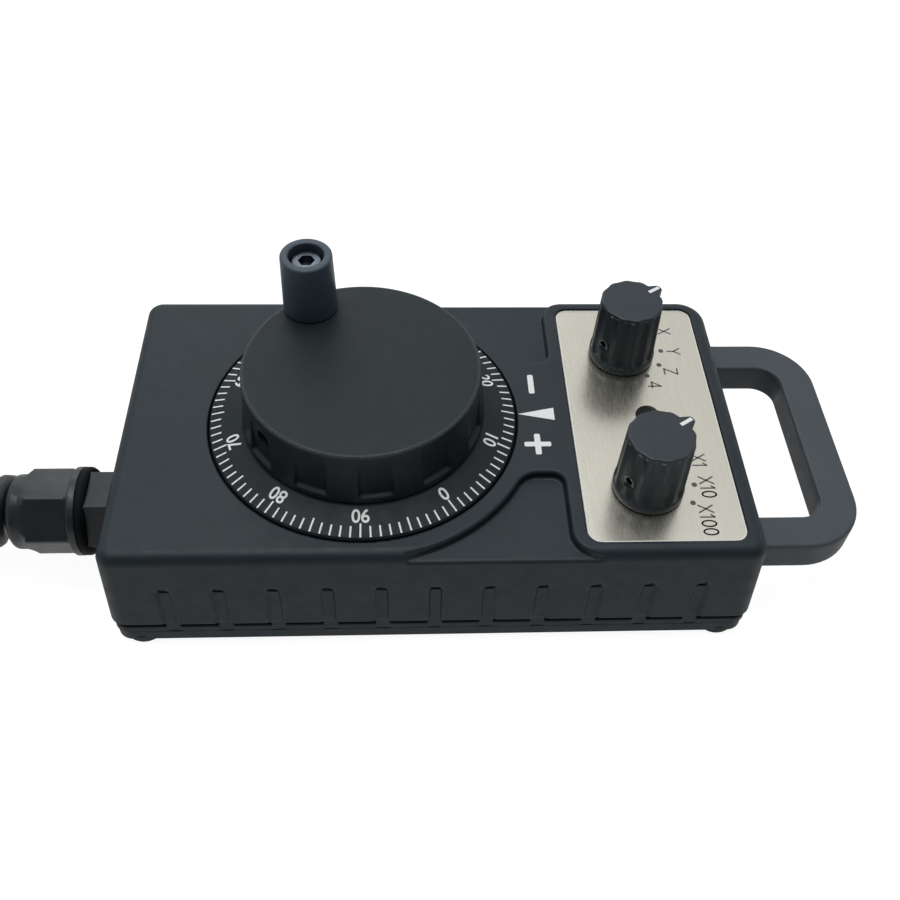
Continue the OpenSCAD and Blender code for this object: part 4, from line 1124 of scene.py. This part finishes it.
def make_plate():
    """The face plate with its three holes, and the chamfer round it, painted near white as a painted
    highlight.
    """
    top = PLATE_HIGH.z
    sheet = prism(plate_outline(0), PLATE_LOW.z, top)
    piece = new_piece("plate_sheet", *sheet, "housing", "plate_aluminium", PLATE)
    led_low, led_high = node_box("indicator_led")
    holes = [((led_low.x + led_high.x) / 2, 0, 2.4)]
    holes += [(SELECTOR_X, y, 4.7) for y in SELECTOR_Y.values()]
    tools = []
    for x, y, r in holes:
        tool = [(0, top - 3), (r, top - 3), (r, top + 2), (0, top + 2)]
        tools.append(turned(tool, full_turn(64), None, (x, y)))
    bore(piece, *merged(tools))
    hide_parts("face_plate")
    section = [
        (-0.04, top - 0.3), (-0.04, top - 0.04), (0.02, top + 0.02), (0.24, top + 0.02),
        (0.24, top - 0.1),
    ]
    points = [(x, y, z) for inset, z in section for x, y in plate_outline(inset)]
    rows = len(section)
    n = len(points) // rows
    faces = []
    for row in range(rows):
        for k in range(n):
            here, after, j = row * n, (row + 1) % rows * n, (k + 1) % n
            faces.append((here + k, here + j, after + j, after + k))
    # the chamfer takes the near-white paint: a painted highlight
    new_piece("plate_edge", points, faces, "housing", "plate_aluminium", EDGE_HIGHLIGHT_PAINT)


def make_labels():
    """Dots and names of the selectors' positions, with the names' tops towards the handle."""
    tall, gap, width = 2.6, 0.2, 0.33
    labels = [
        ("X", 49.44, 23.66), ("Y", 50.38, 17.66), ("Z", 48.88, 11.89), ("4", 44.92, 8.13),
        ("X1", 50.04, -11.56), ("X10", 50.51, -17.9), ("X100", 49.19, -25.41),
    ]
    dots = [(47.82, 17.79), (46.76, 13.73), (43.81, 10.68), (48.14, -17.36), (47.1, -21.56)]
    low, high = PLATE_HIGH.z + UNDER, PLATE_HIGH.z + 0.012
    parts = []
    for text, x, y in labels:
        total = sum(STROKES[c][0] for c in text) + gap * (len(text) - 1)
        pen = -total / 2
        for c in text:
            for line in STROKES[c][1]:
                spots = [(x + (v - 0.5) * tall, y - (pen + u) * tall) for u, v in line]
                parts += [prism(stadium(a, b, width, 4), low, high) for a, b in zip(spots, spots[1:])]
            pen += STROKES[c][0] + gap
    for x, y in dots:
        ring = [(x + 0.53 * math.cos(a), y + 0.53 * math.sin(a)) for a in full_turn(24)]
        parts.append(prism(ring, low, high))
    new_piece("plate_labels", *merged(parts), "housing", "plate_aluminium", GREY, 20)


# ---- studio

def make_floor():
    """A matte floor that glows white where the camera or a reflection sees it."""
    bpy.ops.mesh.primitive_plane_add(size=8, location=(0, 0, 0))
    floor = bpy.context.active_object
    floor.name = "studio_floor"
    material = bpy.data.materials.new("studio_floor")
    material.use_nodes = True
    tree = material.node_tree
    tree.nodes.clear()
    path = add_node(tree, "LightPath").outputs
    seen = calculate(tree, "MAXIMUM", path["Is Camera Ray"], path["Is Glossy Ray"])
    share = calculate(tree, "MULTIPLY", seen, 0.74)
    matte = add_node(tree, "BsdfDiffuse", Color=(0.9, 0.9, 0.9, 1))
    glow = add_node(tree, "Emission", Strength=mapped(tree, path["Is Camera Ray"], 0.7, 1.26))
    mix = add_node(tree, "MixShader", Fac=share)
    tree.links.new(matte.outputs[0], mix.inputs[1])
    tree.links.new(glow.outputs[0], mix.inputs[2])
    add_node(tree, "OutputMaterial", Surface=mix.outputs[0])
    floor.data.materials.append(material)


def make_world():
    """Soft even light, dimmer from the front, seen as white by the camera."""
    world = bpy.data.worlds.new("studio")
    bpy.context.scene.world = world
    world.use_nodes = True
    tree = world.node_tree
    light = tree.nodes["Background"]
    light.inputs["Color"].default_value = (0.97, 0.985, 1.0, 1)
    path = add_node(tree, "LightPath").outputs
    seen = mapped(tree, path["Is Camera Ray"], 0.36, 1.0)
    reflected = calculate(tree, "MULTIPLY_ADD", path["Is Glossy Ray"], 0.34, seen)
    way = add_node(tree, "SeparateXYZ", Vector=add_node(tree, "TexCoord").outputs["Generated"])
    front = mapped(tree, way.outputs["Y"], 0.12, 1, -0.75, 0.3)
    white = calculate(tree, "MAXIMUM", front, path["Is Camera Ray"])
    tree.links.new(calculate(tree, "MULTIPLY", reflected, white), light.inputs["Strength"])


def add_lamp(name, place, size, energy):
    """An area lamp that faces the casing."""
    target = (0, 0, 20)
    data = bpy.data.lights.new(name, "AREA")
    data.shape = "RECTANGLE"
    data.size, data.size_y = (s * MM for s in size)
    data.energy = energy
    lamp = add_object(name, data)
    lamp.location = Vector(place) * MM
    lamp.rotation_mode = "QUATERNION"
    lamp.rotation_quaternion = (Vector(target) - Vector(place)).to_track_quat("-Z", "Y")


def make_studio():
    """Floor, world and lamps."""
    make_floor()
    make_world()
    add_lamp("overhead", (-60, 60, 700), (500, 500), 2.8)
    add_lamp("back", (-120, 560, 330), (420, 260), 0.42)
    bpy.context.scene.view_settings.view_transform = "Standard"


# ---- make everything

make_camera()
make_cord()
dress_cad_nodes()
make_casing()
make_handle()
make_feet()
make_gland()
for node_name, edge_width in (("boot", 0.3), ("shell", 0.25), ("ring", 0.2)):
    soften("connector_" + node_name, edge_width)
make_dial()
make_graduations()
make_numerals()
make_knob()
make_grip()
make_selector("axis_pointer", "axis_selector", "axis_knob")
make_selector("multiplier_pointer", "multiplier_selector", "multiplier_knob")
make_neck_marks()
make_plate()
make_labels()
make_studio()
